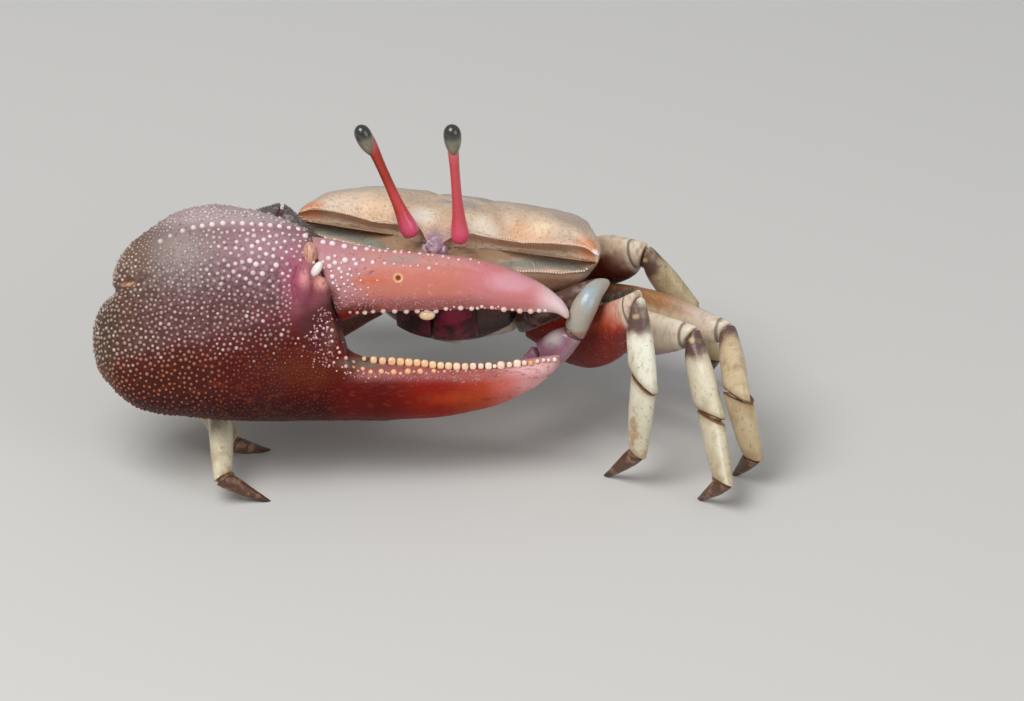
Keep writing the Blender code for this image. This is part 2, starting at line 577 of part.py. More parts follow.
def build_great_claw(group):
    _, toward, face_up, out = claw_axes()
    boss = claw_point(*PALM_BOSS)
    seat = ((boss - GREAT_KNEE).normalized() + out).normalized()
    joints = [GREAT_ROOT, GREAT_ELBOW, GREAT_KNEE, boss]
    hinge = (GREAT_KNEE - GREAT_ROOT).cross(Vector((0, 0, 1))).normalized()
    arm = limb(joints, GREAT_PROFILES, Vector((-1, 0, 0)), (boss - seat * GAP / 2, seat), hinge=hinge)
    for part, shape in zip(("base", "arm", "wrist"), arm):
        finish("great_claw_" + part, shape, ARM, group)
    (top_a, top_b), (low_a, low_b) = PALM_END
    slope = (toward * (low_a - top_a) + face_up * (low_b - top_b)).normalized()
    end = out.cross(slope).normalized()
    corner = claw_point(top_a, top_b, 0)
    whole_palm = loft_mesh([claw_section(*row) for row in PALM])
    palm = cut(whole_palm, corner, end)
    whole_palm.free()
    pollex = loft_mesh([claw_section(a, low, high, thick, sides=12) for a, low, high, thick in POLLEX])
    half_wide, half_tall = BOSS_SIZE
    inner = ellipse(boss + out * 4.5, toward, face_up, half_wide, half_tall, LIMB_SIDES)
    outer = slide_to_plane(inner, out, boss + seat * GAP / 2, seat)
    knobs = palm_tubercles(palm)
    knobs += finger_teeth(pollex, POLLEX, POLLEX_TEETH, 1, POLLEX_ROW, POLLEX_ROW_HEIGHT)
    knobs += hinge_lobes(corner, end)
    fused = fuse("great_claw_palm", [palm, pollex, loft_mesh([inner, outer])] + knobs)
    finish("great_claw_palm", fused, CLAW, group)
    whole_finger = loft_mesh([claw_section(a, low, high, thick, sides=12) for a, low, high, thick in DACTYL])
    finger = cut(whole_finger, corner + end * GAP, -end)
    whole_finger.free()
    knobs = finger_teeth(finger, DACTYL, DACTYL_TEETH, -1, DACTYL_ROW, DACTYL_ROW_HEIGHT)
    place, size = GREAT_TOOTH
    tree = BVHTree.FromBMesh(finger)
    middle = (along(DACTYL, place) + along(DACTYL, place, 2)) / 2
    knobs.append(bead_on(tree, claw_point(place, middle, 0), -face_up, size, size * 0.7))
    finish("great_claw_finger", fuse("great_claw_finger", [finger] + knobs), FINGER, group)


def build_small_claw(group):
    palm_way = (SMALL_KNUCKLE - SMALL_WRIST).normalized()
    joints = [SMALL_ROOT, SMALL_ELBOW, SMALL_KNEE, SMALL_WRIST, SMALL_KNUCKLE]
    knuckle = (SMALL_KNUCKLE, palm_way)
    sags = {2: SMALL_WRIST_ARCH}
    pieces = limb(joints, SMALL_PROFILES, Vector((1, 0, 0)), knuckle, sags=sags, hinge=SMALL_HINGE)
    for part, shape in zip(("base", "arm", "wrist"), pieces):
        finish("small_claw_" + part, shape, SMALL_CLAW, group)
    finger_way = (SMALL_TIP - SMALL_KNUCKLE).normalized()
    across = Vector((0, 1, 0)).cross(finger_way).cross(finger_way).normalized()
    rise = across.cross(finger_way).normalized()
    if rise.z < 0:
        rise = -rise
    fingers = []
    for sign in (-1, 1):
        root = SMALL_KNUCKLE + rise * (sign * SMALL_FINGER_SPREAD)
        tip = SMALL_TIP + rise * (sign * SMALL_FINGER_SPREAD * 0.4)
        begin = -0.8 if sign < 0 else GAP
        rings = []
        for share, tall, thick in SMALL_FINGER:
            centre = root.lerp(tip, share)
            if share == 0:
                centre = root + finger_way * begin
            rings.append(ellipse(centre, across, rise, thick / 2, tall / 2, LIMB_SIDES))
        if sign > 0:
            rings[0] = slide_to_plane(rings[0], finger_way, SMALL_KNUCKLE + palm_way * GAP, palm_way)
        fingers.append(loft_mesh(rings))
    finish("small_claw_palm", fuse("small_claw_palm", [pieces[3], fingers[0]]), SMALL_CLAW, group)
    finish("small_claw_finger", fingers[1], SMALL_CLAW, group)


def front_line(x):
    """The trunk's front below the lip, as y and z from the top down."""
    ring = trunk_ring(x)
    return [(point.y, point.z) for point in reversed(ring[-7:-3])]


def build_mouth_plates(group):
    for side, sign in (("left", 1), ("right", -1)):
        rings = []
        for x in MOUTH_STATIONS:
            outer = []
            inner = []
            for z in MOUTH_LEVELS:
                line = sorted((-low, y) for y, low in front_line(x))
                y = along(line, -z) - GAP
                inner.append(Vector((sign * x, y, z)))
                outer.append(Vector((sign * x, y - MOUTH_THICK, z)))
            rings.append(inner + outer[::-1])
        finish("mouth_plate_" + side, loft_mesh(rings), UNDER, group)


def build_abdomen(group):
    rings = []
    for y, z, half in ABDOMEN:
        top = z - GAP
        low = top - ABDOMEN_THICK
        rings.append([Vector((-half, y, top)), Vector((half, y, top)), Vector((half * 0.8, y, low)),
                      Vector((-half * 0.8, y, low))])
    finish("abdomen", loft_mesh(rings), UNDER, group)


def place_on_floor(group):
    """Stand the crab on the floor with the middle of its bounding box over the zero."""
    corners = [vertex.co for thing in group.objects for vertex in thing.data.vertices]
    middle = [(min(c[i] for c in corners) + max(c[i] for c in corners)) / 2 for i in range(2)]
    root = bpy.data.objects.new("crab_on_floor", None)
    root.location = (-middle[0], -middle[1], BROW_HEIGHT * MM)
    group.objects.link(root)
    for thing in list(group.objects):
        if thing is not root:
            thing.parent = root
    bpy.context.view_layer.update()


def main():
    random.seed(SEED)
    clear_scene()
    group = new_group("fiddler_crab")
    build_trunk(group)
    build_eyes(group)
    build_mouth_plates(group)
    build_abdomen(group)
    build_great_claw(group)
    build_small_claw(group)
    build_legs(group)
    place_on_floor(group)


main()
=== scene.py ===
import math
import random

import bpy
import numpy as np
from mathutils import Matrix, Vector, noise
from mathutils.bvhtree import BVHTree


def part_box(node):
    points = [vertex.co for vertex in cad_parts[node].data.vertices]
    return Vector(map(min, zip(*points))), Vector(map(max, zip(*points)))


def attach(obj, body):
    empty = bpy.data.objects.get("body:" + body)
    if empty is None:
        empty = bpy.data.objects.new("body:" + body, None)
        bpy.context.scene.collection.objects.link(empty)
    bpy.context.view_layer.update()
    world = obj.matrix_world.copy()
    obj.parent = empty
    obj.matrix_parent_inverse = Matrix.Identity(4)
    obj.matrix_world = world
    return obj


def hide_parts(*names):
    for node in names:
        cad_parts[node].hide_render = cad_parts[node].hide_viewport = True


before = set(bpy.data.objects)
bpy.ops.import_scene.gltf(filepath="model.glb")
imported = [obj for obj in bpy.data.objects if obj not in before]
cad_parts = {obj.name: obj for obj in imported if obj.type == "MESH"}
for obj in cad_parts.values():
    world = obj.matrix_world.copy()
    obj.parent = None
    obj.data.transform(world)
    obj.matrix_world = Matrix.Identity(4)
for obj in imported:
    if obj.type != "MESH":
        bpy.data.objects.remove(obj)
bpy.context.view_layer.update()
random.seed(11)

# TRUNK
# The trunk of the crab is one hard box: a domed back shell, a face with the eye sockets, and the
# pale underside. It is modelled whole as a coarse cage, smoothed, and parted along its seams.
MM = 0.001
HALF_WIDTH = 16.0
BROW_OVERHANG = 5.0
BROW_HEIGHT = 21.0
shell_low, shell_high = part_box("carapace")
brow = Vector(((shell_low.x + shell_high.x) / 2, shell_low.y + BROW_OVERHANG * MM, BROW_HEIGHT * MM))

# Distance from the middle, with y and z of the brow and of the beaded lip under the eyes, with y of
# the rear edge and with z of the keel; and y and z of the middle line of the back.
BROW = ((0.0, -5.0, 1.5), (1.0, -4.8, 1.6), (1.7, -3.2, 1.9), (2.9, -2.3, 1.8), (4.0, -1.9, 1.4),
        (6.0, -0.8, 0.6), (8.0, 0.0, 0.1), (12.0, 0.8, 0.2), (14.5, 0.4, 0.4), (16.0, -0.2, 0.0))
LIP = ((0.0, -5.1, -1.4), (2.6, -4.8, -1.5), (4.0, -3.8, -1.9), (6.0, -2.0, -2.5), (8.0, -0.7, -2.8),
       (12.0, 0.2, -2.9), (14.5, 0.0, -2.2), (16.0, -0.3, -0.7))
BACK = ((-4.8, 1.9), (-2.5, 2.6), (0.0, 2.9), (3.0, 2.6), (6.0, 1.2), (9.0, -0.5), (12.0, -2.6),
        (15.5, -5.6))
REAR = ((0.0, 15.5), (7.0, 15.3), (8.6, 14.4), (10.4, 11.2), (12.4, 7.6), (14.4, 4.2), (15.6, 1.9),
        (16.0, 0.9))
KEEL = ((0.0, -12.6), (7.2, -12.3), (7.3, -8.6), (10.0, -7.4), (12.5, -5.8), (14.5, -3.8), (15.6, -1.7),
        (16.0, -1.0))
STATIONS = (0.0, 1.0, 1.7, 2.9, 4.0, 5.6, 7.2, 7.3, 9.0, 11.0, 13.0, 14.5, 15.6, 16.0)
OUTLINE_POINTS = 21
BROW_ROW = 0
LIP_ROW = 17
SEAM_SLOPE = -0.378
SEAM_HEIGHT = -0.95
SEAM_GAP = 0.01
CORNER_DROP = 2.9
RIGHT_ROUNDNESS = 4.0
LEFT_ROUNDNESS = 5.5
FULL_LENGTH = 8.0
BACK_SHARES = (0.0, 0.05, 0.12, 0.22, 0.36, 0.52, 0.70, 0.88, 1.0)


def at(x, y, z):
    """A point given in millimetres from the brow point, in the frame's metres."""
    return brow + Vector((x, y, z)) * MM


def along(table, where, column=1):
    """Read a table of (place, value, ...) rows between its rows."""
    for low, high in zip(table, table[1:]):
        if where <= high[0]:
            share = min(max((where - low[0]) / (high[0] - low[0]), 0.0), 1.0)
            return low[column] + (high[column] - low[column]) * share
    return table[-1][column]


def only(piece):
    """Select one piece alone."""
    bpy.ops.object.select_all(action="DESELECT")
    piece.select_set(True)
    bpy.context.view_layer.objects.active = piece


def apply(piece, kind, **settings):
    """Put a modifier on a piece and apply it."""
    only(piece)
    modifier = piece.modifiers.new(kind.lower(), kind)
    for name, value in settings.items():
        setattr(modifier, name, value)
    bpy.ops.object.modifier_apply(modifier=modifier.name)


def smooth_cage(piece, levels):
    apply(piece, "SUBSURF", levels=levels, render_levels=levels)


def push_out(piece, amount):
    """Move each point of a piece along its outward way by amount(point, way) millimetres."""
    count = len(piece.data.vertices)
    points, ways = np.empty(count * 3), np.empty(count * 3)
    piece.data.vertices.foreach_get("co", points)
    piece.data.vertices.foreach_get("normal", ways)
    moved = [point + way * amount(point, way) * MM
             for point, way in zip(map(Vector, points.reshape(-1, 3)), map(Vector, ways.reshape(-1, 3)))]
    piece.data.vertices.foreach_set("co", np.array(moved).ravel())
    piece.data.update()


def copy_of(piece, name):
    twin = bpy.data.objects.new(name, piece.data.copy())
    bpy.context.scene.collection.objects.link(twin)
    return twin


def cut_away(piece, point, normal):
    """Cut off what lies beyond a plane and close the cut."""
    only(piece)
    bpy.ops.object.mode_set(mode="EDIT")
    bpy.ops.mesh.select_all(action="SELECT")
    bpy.ops.mesh.bisect(plane_co=point, plane_no=normal, use_fill=True, clear_outer=True)
    bpy.ops.object.mode_set(mode="OBJECT")


def trunk_outline(x):
    """The trunk's outline at x: over the back, down the rear, forward below and up the face."""
    side = abs(x)
    brow_y, brow_z = along(BROW, side), along(BROW, side, 2)
    lip_y, lip_z = along(LIP, side), along(LIP, side, 2)
    rear_y, keel = along(REAR, side), along(KEEL, side)
    length = rear_y - brow_y
    taper = min(1.0, length / FULL_LENGTH)
    roundness = RIGHT_ROUNDNESS if x < 0 else LEFT_ROUNDNESS
    ring = []
    for share in BACK_SHARES:
        y = brow_y + length * share
        ease = 1.0 - max(0.0, 1.0 - share / 0.26) ** 2
        back_z = along(BACK, y) - CORNER_DROP * (side / HALF_WIDTH) ** roundness
        ring.append((y, brow_z + (back_z - brow_z) * ease))
    rear_z = ring[-1][1]
    floor_z = min(keel * 0.88, lip_z - 0.5 * taper)
    ring += [
        (rear_y - 0.1 * taper, rear_z - 0.8 * taper),
        (rear_y - 1.0 * taper, 0.6 * rear_z + 0.4 * keel - 0.6 * taper),
        (rear_y - 1.6 * taper, min(keel * 0.80, rear_z - 1.2 * taper)),
        (brow_y + length * 0.62, keel * 0.97),
        (brow_y + length * 0.30, keel),
        (lip_y + 1.0 * taper, floor_z),
        (lip_y + 0.2 * taper, lip_z + 0.62 * (floor_z - lip_z)),
        (lip_y + 0.1 * taper, lip_z - 0.5 * taper),
        (lip_y, lip_z + 0.15 * taper),
        (lip_y + 0.7 * taper, lip_z + 0.6 * taper),
        (max(brow_y, lip_y) + 1.3 * taper, 0.45 * brow_z + 0.55 * lip_z + 0.2 * taper),
        (brow_y + 0.9 * taper, brow_z - 0.9 * taper - 0.1),
    ]
    return ring


def grid_piece(name, columns, rows, place):
    """A grid whose vertices are moved to place(column, row), with its edges merged and closed."""
    bpy.ops.object.select_all(action="DESELECT")
    bpy.ops.mesh.primitive_grid_add(x_subdivisions=columns, y_subdivisions=rows, size=2)
    piece = bpy.context.object
    piece.name = name
    for vertex in piece.data.vertices:
        column = round((vertex.co.x + 1) / 2 * columns)
        row = round((vertex.co.y + 1) / 2 * rows)
        vertex.co = place(column, row)
    bpy.ops.object.mode_set(mode="EDIT")
    bpy.ops.mesh.select_all(action="SELECT")
    bpy.ops.mesh.remove_doubles(threshold=1e-6)
    bpy.ops.mesh.fill_holes(sides=0)
    bpy.ops.mesh.select_all(action="SELECT")
    bpy.ops.mesh.normals_make_consistent(inside=False)
    bpy.ops.object.mode_set(mode="OBJECT")
    return piece


places = sorted({-x for x in STATIONS} | set(STATIONS))
outlines = [trunk_outline(x) for x in places]
trunk = grid_piece("trunk", len(places) - 1, OUTLINE_POINTS,
                   lambda column, row: at(places[column], *outlines[column][row % OUTLINE_POINTS]))
crease = trunk.data.attributes.new("crease_edge", "FLOAT", "EDGE")
sharp_points = {tuple(round(c, 7) for c in at(x, *outline[row]))
                for x, outline in zip(places, outlines) for row in (BROW_ROW, LIP_ROW)}
for edge in trunk.data.edges:
    ends = [trunk.data.vertices[i].co for i in edge.vertices]
    if all(tuple(round(c, 7) for c in end) in sharp_points for end in ends):
        crease.data[edge.index].value = 0.75
smooth_cage(trunk, 3)

seam_point = at(0, 0, SEAM_HEIGHT)
seam_up = Vector((0, -SEAM_SLOPE, 1)).normalized()
split_point = at(0, 2.2, -6.0)
split_way = Vector((0, 0.75, -0.66)).normalized()
back_shell = copy_of(trunk, "back_shell")
cut_away(back_shell, seam_point + seam_up * SEAM_GAP * MM, -seam_up)
face_shell = copy_of(trunk, "face_shell")
cut_away(face_shell, seam_point - seam_up * SEAM_GAP * MM, seam_up)
underside = copy_of(face_shell, "underside")
cut_away(face_shell, split_point - split_way * SEAM_GAP * MM, split_way)
cut_away(underside, split_point + split_way * SEAM_GAP * MM, -split_way)
bpy.data.objects.remove(trunk)


class Paint:
    """A material built up in layers on its Principled shader, in millimetres from a point."""

    def __init__(self, name, origin, axes=None):
        self.material = bpy.data.materials.new(name)
        self.material.use_nodes = True
        self.nodes = self.material.node_tree.nodes
        self.links = self.material.node_tree.links
        self.shader = self.nodes["Principled BSDF"]
        object_place = self.nodes.new("ShaderNodeTexCoord").outputs["Object"]
        shifted = self.vector("SUBTRACT", object_place, origin)
        if axes:
            parts = self.nodes.new("ShaderNodeCombineXYZ")
            for axis, part in zip(axes, parts.inputs):
                self.links.new(self.vector("DOT_PRODUCT", shifted, axis), part)
            shifted = parts.outputs[0]
        self.place = self.vector("MULTIPLY", shifted, (1000, 1000, 1000))
        self.colour = None
        self.height = None

    def feed(self, socket, value):
        """Link a socket to what it is given, or set it where that is a colour or a number."""
        if isinstance(value, bpy.types.NodeSocket):
            self.links.new(value, socket)
        elif socket.type == "RGBA":
            socket.default_value = (*value, 1)
        else:
            socket.default_value = value

    def worked(self, kind, operation, first, second):
        node = self.nodes.new(kind)
        node.operation = operation
        self.feed(node.inputs[0], first)
        self.feed(node.inputs[1], second)
        return node.outputs

    def vector(self, operation, first, second):
        answers = self.worked("ShaderNodeVectorMath", operation, first, second)
        return answers["Value" if operation in ("LENGTH", "DOT_PRODUCT") else "Vector"]

    def math(self, operation, first, second=0.0):
        return self.worked("ShaderNodeMath", operation, first, second)[0]

    def both(self, first, second):
        return self.math("MULTIPLY", first, second)

    def mapped(self, value, low, high, start, end, way="LINEAR"):
        """A value's range from low to high brought to the range from start to end."""
        node = self.nodes.new("ShaderNodeMapRange")
        node.interpolation_type = way
        self.links.new(value, node.inputs["Value"])
        for name, limit in (("From Min", low), ("From Max", high), ("To Min", start), ("To Max", end)):
            node.inputs[name].default_value = limit
        return node.outputs["Result"]

    def between(self, value, low, high):
        """0 where a value is at low, 1 where it is at high, and eased in between."""
        if low > high:
            return self.mapped(value, high, low, 1.0, 0.0, "SMOOTHSTEP")
        return self.mapped(value, low, high, 0.0, 1.0, "SMOOTHSTEP")

    def axis(self, index):
        node = self.nodes.new("ShaderNodeSeparateXYZ")
        self.links.new(self.place, node.inputs[0])
        return node.outputs[index]

    def attribute(self, name):
        node = self.nodes.new("ShaderNodeAttribute")
        node.attribute_name = name
        return node.outputs["Fac"]

    def grain(self, size, detail=3.0, stretch=(1, 1, 1), roughness=0.55):
        """Noise from 0 to 1 whose features are about size millimetres across."""
        node = self.nodes.new("ShaderNodeTexNoise")
        node.inputs["Scale"].default_value = 1.0 / size
        node.inputs["Detail"].default_value = detail
        node.inputs["Roughness"].default_value = roughness
        self.links.new(self.vector("MULTIPLY", self.place, stretch), node.inputs["Vector"])
        return node.outputs["Fac"]

    def pebbles(self, size, randomness=0.9):
        """Distance from the nearest of many scattered points, 0 at each point."""
        node = self.nodes.new("ShaderNodeTexVoronoi")
        node.inputs["Scale"].default_value = 1.0 / size
        node.inputs["Randomness"].default_value = randomness
        self.links.new(self.place, node.inputs["Vector"])
        return node.outputs["Distance"]

    def blob(self, centre, reach, ragged=0.0, core=0.35):
        """1 near a point, fading to 0 at the given distances along each axis."""
        away = self.vector("DIVIDE", self.vector("SUBTRACT", self.place, centre), reach)
        distance = self.vector("LENGTH", away, (0, 0, 0))
        if ragged:
            wobble = self.both(self.math("SUBTRACT", self.grain(min(reach) * 0.6), 0.5), ragged)
            distance = self.math("ADD", distance, wobble)
        return self.between(distance, 1.0, core)

    def coat(self, colour, mask=None, strength=1.0):
        """Lay a colour over what is there, where the mask is 1; with no mask it is the ground."""
        if mask is None:
            self.colour = colour
            return self
        if strength != 1.0:
            mask = self.both(mask, strength)
        node = self.nodes.new("ShaderNodeMix")
        node.data_type = "RGBA"
        self.feed(node.inputs["Factor"], mask)
        self.feed(node.inputs["A"], self.colour)
        self.feed(node.inputs["B"], colour)
        self.colour = node.outputs["Result"]
        return self

    def band(self, colour, along, low, high, strength=1.0):
        """Lay a colour that grows from low to high along an axis, a point's attribute or a socket."""
        if along in ("X", "Y", "Z"):
            along = self.axis(along)
        elif isinstance(along, str):
            along = self.attribute(along)
        return self.coat(colour, self.between(along, low, high), strength)

    def specks(self, colour, size, detail, low, high, strength=1.0, stretch=(1, 1, 1)):
        """Lay a colour where a noise is above low, in full where it is above high."""
        return self.coat(colour, self.between(self.grain(size, detail, stretch), low, high), strength)

    def spot(self, colour, centre, reach, strength=1.0, ragged=0.0, core=0.35):
        """Lay a colour round a point."""
        return self.coat(colour, self.blob(centre, reach, ragged, core), strength)

    def raise_by(self, value, amount):
        """Add a value times an amount in millimetres to the bump height."""
        part = self.both(value, amount * MM)
        self.height = part if self.height is None else self.math("ADD", self.height, part)
        return self

    def done(self, roughness=0.45, spread=0.1, coat=0.0, coat_roughness=0.2, specular=0.5):
        """Wire the layers to the shader and return the material."""
        self.feed(self.shader.inputs["Base Color"], self.colour)
        rough = self.mapped(self.grain(0.9), 0.3, 0.7, roughness - spread, roughness + spread)
        self.links.new(rough, self.shader.inputs["Roughness"])
        self.shader.inputs["Coat Weight"].default_value = coat
        self.shader.inputs["Coat Roughness"].default_value = coat_roughness
        self.shader.inputs["Specular IOR Level"].default_value = specular
        if self.height is not None:
            bump = self.nodes.new("ShaderNodeBump")
            bump.inputs["Distance"].default_value = 1.0
            self.links.new(self.height, bump.inputs["Height"])
            self.links.new(bump.outputs["Normal"], self.shader.inputs["Normal"])
        return self.material


def dress(piece, material, slot, *nodes):
    """Give a finished piece its material and hand it to the frame."""
    piece.data.materials.clear()
    piece.data.materials.append(material)
    only(piece)
    bpy.ops.object.shade_smooth_by_angle(angle=math.radians(40))
    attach(piece, "root")
    if nodes:
        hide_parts(*nodes)


# BACK SHELL
# The domed back shell of hard chalky skin, cream in front, greyer behind, with tan patches and
# orange corner teeth. Shallow furrows part its regions, and its front hangs over the eye sockets.
def away_from(x, y, line):
    """How far a point is from a bent line."""
    best = 99.0
    for (ax, ay), (bx, by) in zip(line, line[1:]):
        run = max((bx - ax) ** 2 + (by - ay) ** 2, 1e-6)
        share = min(max(((x - ax) * (bx - ax) + (y - ay) * (by - ay)) / run, 0.0), 1.0)
        best = min(best, math.hypot(x - ax - (bx - ax) * share, y - ay - (by - ay) * share))
    return best


def furrow(x, y, line, width):
    """How near a point is to a bent line, 1 on the line and 0 away from it."""
    return math.exp(-(away_from(x, y, line) / width) ** 2)


GASTRIC_FURROW = ((6.2, -0.2), (5.4, 1.6), (4.4, 3.6), (2.6, 5.0), (2.3, 6.8), (3.6, 8.2), (4.0, 10.5),
                  (4.4, 13.5))
MIDDLE_FURROW = ((0.0, -2.6), (0.0, 0.6))
CROSS_FURROW = ((0.0, 6.3), (2.4, 5.6))
SIDE_FURROW = ((8.2, 3.2), (11.4, 3.6))


def back_relief(point, way):
    """Height of the back's furrows and swells at a point."""
    x, y, z = (point - brow) / MM
    if z < SEAM_HEIGHT + SEAM_SLOPE * y + 0.5 or way.z < 0.2:
        return 0.0
    side = abs(x)
    depth = 0.30 * furrow(side, y, GASTRIC_FURROW, 0.75) + 0.22 * furrow(side, y, MIDDLE_FURROW, 0.6)
    depth += 0.25 * furrow(side, y, CROSS_FURROW, 0.6) + 0.12 * furrow(side, y, SIDE_FURROW, 0.8)
    spot = Vector((x, y, z))
    return 0.14 * (noise.noise(spot * 0.35) + 0.4 * noise.noise(spot * 0.9)) - depth


push_out(back_shell, back_relief)

shell = Paint("chalky_back_shell", brow)
shell.coat((0.60, 0.43, 0.30))
shell.specks((0.72, 0.56, 0.42), 5.0, 4, 0.42, 0.62, 0.7)
shell.specks((0.46, 0.30, 0.19), 2.2, 5, 0.52, 0.74, 0.5)
shell.band((0.62, 0.36, 0.20), "Y", 1.2, 0.2, 0.45)
shell.band((0.38, 0.31, 0.26), "Y", 2.6, 8.0, 0.8)
shell.spot((0.42, 0.32, 0.25), (12.4, 3.2, 1.6), (3.4, 3.0, 4), 0.75, 0.7, 0.1)
shell.spot((0.92, 0.80, 0.66), (-2.6, -1.3, 2.4), (3.2, 2.4, 3), 0.95, 0.6, 0.1)
shell.spot((0.92, 0.79, 0.62), (4.1, -1.1, 2.4), (3.4, 2.4, 3), 0.95, 0.6, 0.1)
shell.spot((0.90, 0.60, 0.38), (-8.4, 0.4, 2.0), (4.6, 2.2, 4), 0.85, 0.9, 0.1)
shell.spot((0.80, 0.46, 0.26), (8.6, 0.6, 1.6), (4.4, 2.0, 4), 0.75, 0.9, 0.1)
shell.spot((0.82, 0.66, 0.36), (9.6, 1.3, 1.8), (1.4, 0.8, 3), 0.6, 1.2, 0.1)
shell.spot((0.26, 0.26, 0.28), (0.8, 1.9, 2.6), (3.2, 1.5, 3), 0.75, 1.3, 0.1)
for side in (-1, 1):
    shell.spot((0.66, 0.20, 0.06), (side * 14.8, 0.7, 0.2), (2.2, 1.4, 2.0), 0.85, 0.4, 0.1)
shell.spot((0.85, 0.78, 0.72), (15.9, -0.1, 0.1), (0.9, 0.8, 0.8), 0.9)
shell.spot((0.30, 0.17, 0.24), (0.0, -4.3, 1.3), (2.3, 2.6, 2.8), 0.9, 1.0, 0.1)
shell.specks((0.24, 0.16, 0.11), 0.35, 2, 0.60, 0.70, 0.4)
shell.specks((0.92, 0.84, 0.74), 0.3, 2, 0.62, 0.72, 0.35)
shell.raise_by(shell.grain(0.5, 4), 0.12).raise_by(shell.between(shell.pebbles(0.45), 0.5, 0.0), 0.07)
dress(back_shell, shell.done(0.42, 0.12, coat=0.2, coat_roughness=0.25, specular=0.4), "shell", "carapace")

# FACE
# Below the brow the shell turns in to the long eye sockets, an olive and grey trough with a beaded
# lip. Under the lip the cheeks run back brown and dark to the mouth.
face = Paint("face_and_eye_sockets", brow)
height = face.math("ADD", face.axis("Z"), face.math("MULTIPLY", face.grain(2.5, 3, (0.25, 1, 1)), 0.7))
face.coat((0.44, 0.27, 0.16))
face.band((0.25, 0.26, 0.21), height, -1.2, -1.7, 0.9)
face.specks((0.50, 0.44, 0.34), 1.2, 4, 0.52, 0.66, 0.55, (0.12, 1, 3))
face.specks((0.16, 0.10, 0.06), 1.0, 4, 0.58, 0.70, 0.5, (0.12, 1, 3))
face.band((0.58, 0.36, 0.24), height, -2.0, -2.4, 0.9)
face.band((0.32, 0.17, 0.09), height, -2.8, -3.6, 0.9)
face.band((0.10, 0.035, 0.02), height, -4.0, -5.6, 0.95)
face.band((0.03, 0.008, 0.006), height, -6.0, -9.0, 0.9)
for side in (-1, 1):
    face.spot((0.34, 0.13, 0.04), (side * 4.4, -3.2, -0.4), (2.4, 1.8, 1.6), 0.8, 0.5, 0.1)
face.spot((0.42, 0.30, 0.32), (0.0, -5.0, -1.0), (2.6, 2.0, 1.2), 0.7, 0.6, 0.1)
face.raise_by(face.grain(0.4, 4), 0.10)
dress(face_shell, face.done(0.30, 0.1, coat=0.3, coat_roughness=0.15, specular=0.4), "face", "face")


def tube(name, rings, sides, power=1.0):
    """A closed skin over rings, each a centre, its three axes and its half width and half height."""
    def place(column, row):
        centre, axes, wide, tall = rings[row]
        angle = 2 * math.pi * (column % sides) / sides
        over, up = math.cos(angle), math.sin(angle)
        over = math.copysign(abs(over) ** power, over)
        up = math.copysign(abs(up) ** power, up)
        return centre + (axes[0] * over * wide + axes[1] * up * tall) * MM
    return grid_piece(name, sides, len(rings) - 1, place)


def cord(name, points, radius, sides=8):
    """A thin round fold that follows a line of points."""
    rings = []
    for i, point in enumerate(points):
        way = (points[min(i + 1, len(points) - 1)] - points[max(i - 1, 0)]).normalized()
        wide = way.cross(Vector((0, 0, 1))).normalized()
        half = radius if 0 < i < len(points) - 1 else radius * 0.2
        rings.append((point, (wide, way.cross(wide), way), half, half))
    return tube(name, rings, sides)


# A thin fold of skin lies along the seam in each socket, and fine beads edge the brow and the lip.
fold = Paint("socket_fold", brow)
fold.coat((0.46, 0.38, 0.28))
fold.specks((0.30, 0.20, 0.12), 1.0, 3, 0.5, 0.62)
fold_skin = fold.done(0.3, 0.08, coat=0.3)
FOLD_START = 3.4
FOLD_LENGTH = 11.6
FOLD_STEPS = 26
seam_points = sorted((v.co.copy() for v in back_shell.data.vertices
                      if abs((v.co - seam_point).dot(seam_up) / MM) < 2 * SEAM_GAP), key=lambda p: p.x)
for name, side in (("right", -1), ("left", 1)):
    line = []
    for i in range(FOLD_STEPS + 1):
        x = side * (FOLD_START + FOLD_LENGTH * i / FOLD_STEPS)
        near = [p for p in seam_points if abs((p - brow).x / MM - x) < 0.35 and (p - brow).y / MM < 4.2]
        if near:
            line.append(min(near, key=lambda p: p.y))
    line.sort(key=lambda p: p.x)
    dress(cord("socket_fold_" + name, line, 0.11), fold_skin, "face")


def many(name, spots, segments=8, rings=5, power=1.0):
    """One piece of many small closed balls, each given by its centre, outward way, width and height."""
    bpy.ops.object.select_all(action="DESELECT")
    bpy.ops.mesh.primitive_uv_sphere_add(segments=segments, ring_count=rings, radius=1)
    pattern = bpy.context.object
    points = [Vector(math.copysign(abs(c) ** power, c) for c in v.co) for v in pattern.data.vertices]
    faces = [tuple(p.vertices) for p in pattern.data.polygons]
    bpy.data.objects.remove(pattern)
    vertices, polygons, tones, crowns = [], [], [], []
    for centre, way, wide, tall in spots:
        turn = way.to_track_quat("Z", "Y").to_matrix()
        tone = random.random()
        base = len(vertices)
        across, along_wide = wide if isinstance(wide, tuple) else (wide, wide)
        for p in points:
            vertices.append(centre + turn @ Vector((p.x * across, p.y * along_wide, p.z * tall)) * MM)
            tones.append(tone)
            crowns.append(p.z)
        polygons += [tuple(base + i for i in face) for face in faces]
    mesh = bpy.data.meshes.new(name)
    mesh.from_pydata(vertices, [], polygons)
    mesh.attributes.new("tone", "FLOAT", "POINT").data.foreach_set("value", tones)
    mesh.attributes.new("crown", "FLOAT", "POINT").data.foreach_set("value", crowns)
    piece = bpy.data.objects.new(name, mesh)
    bpy.context.scene.collection.objects.link(piece)
    return piece


def tree_of(piece):
    points = [v.co for v in piece.data.vertices]
    return BVHTree.FromPolygons(points, [p.vertices for p in piece.data.polygons])


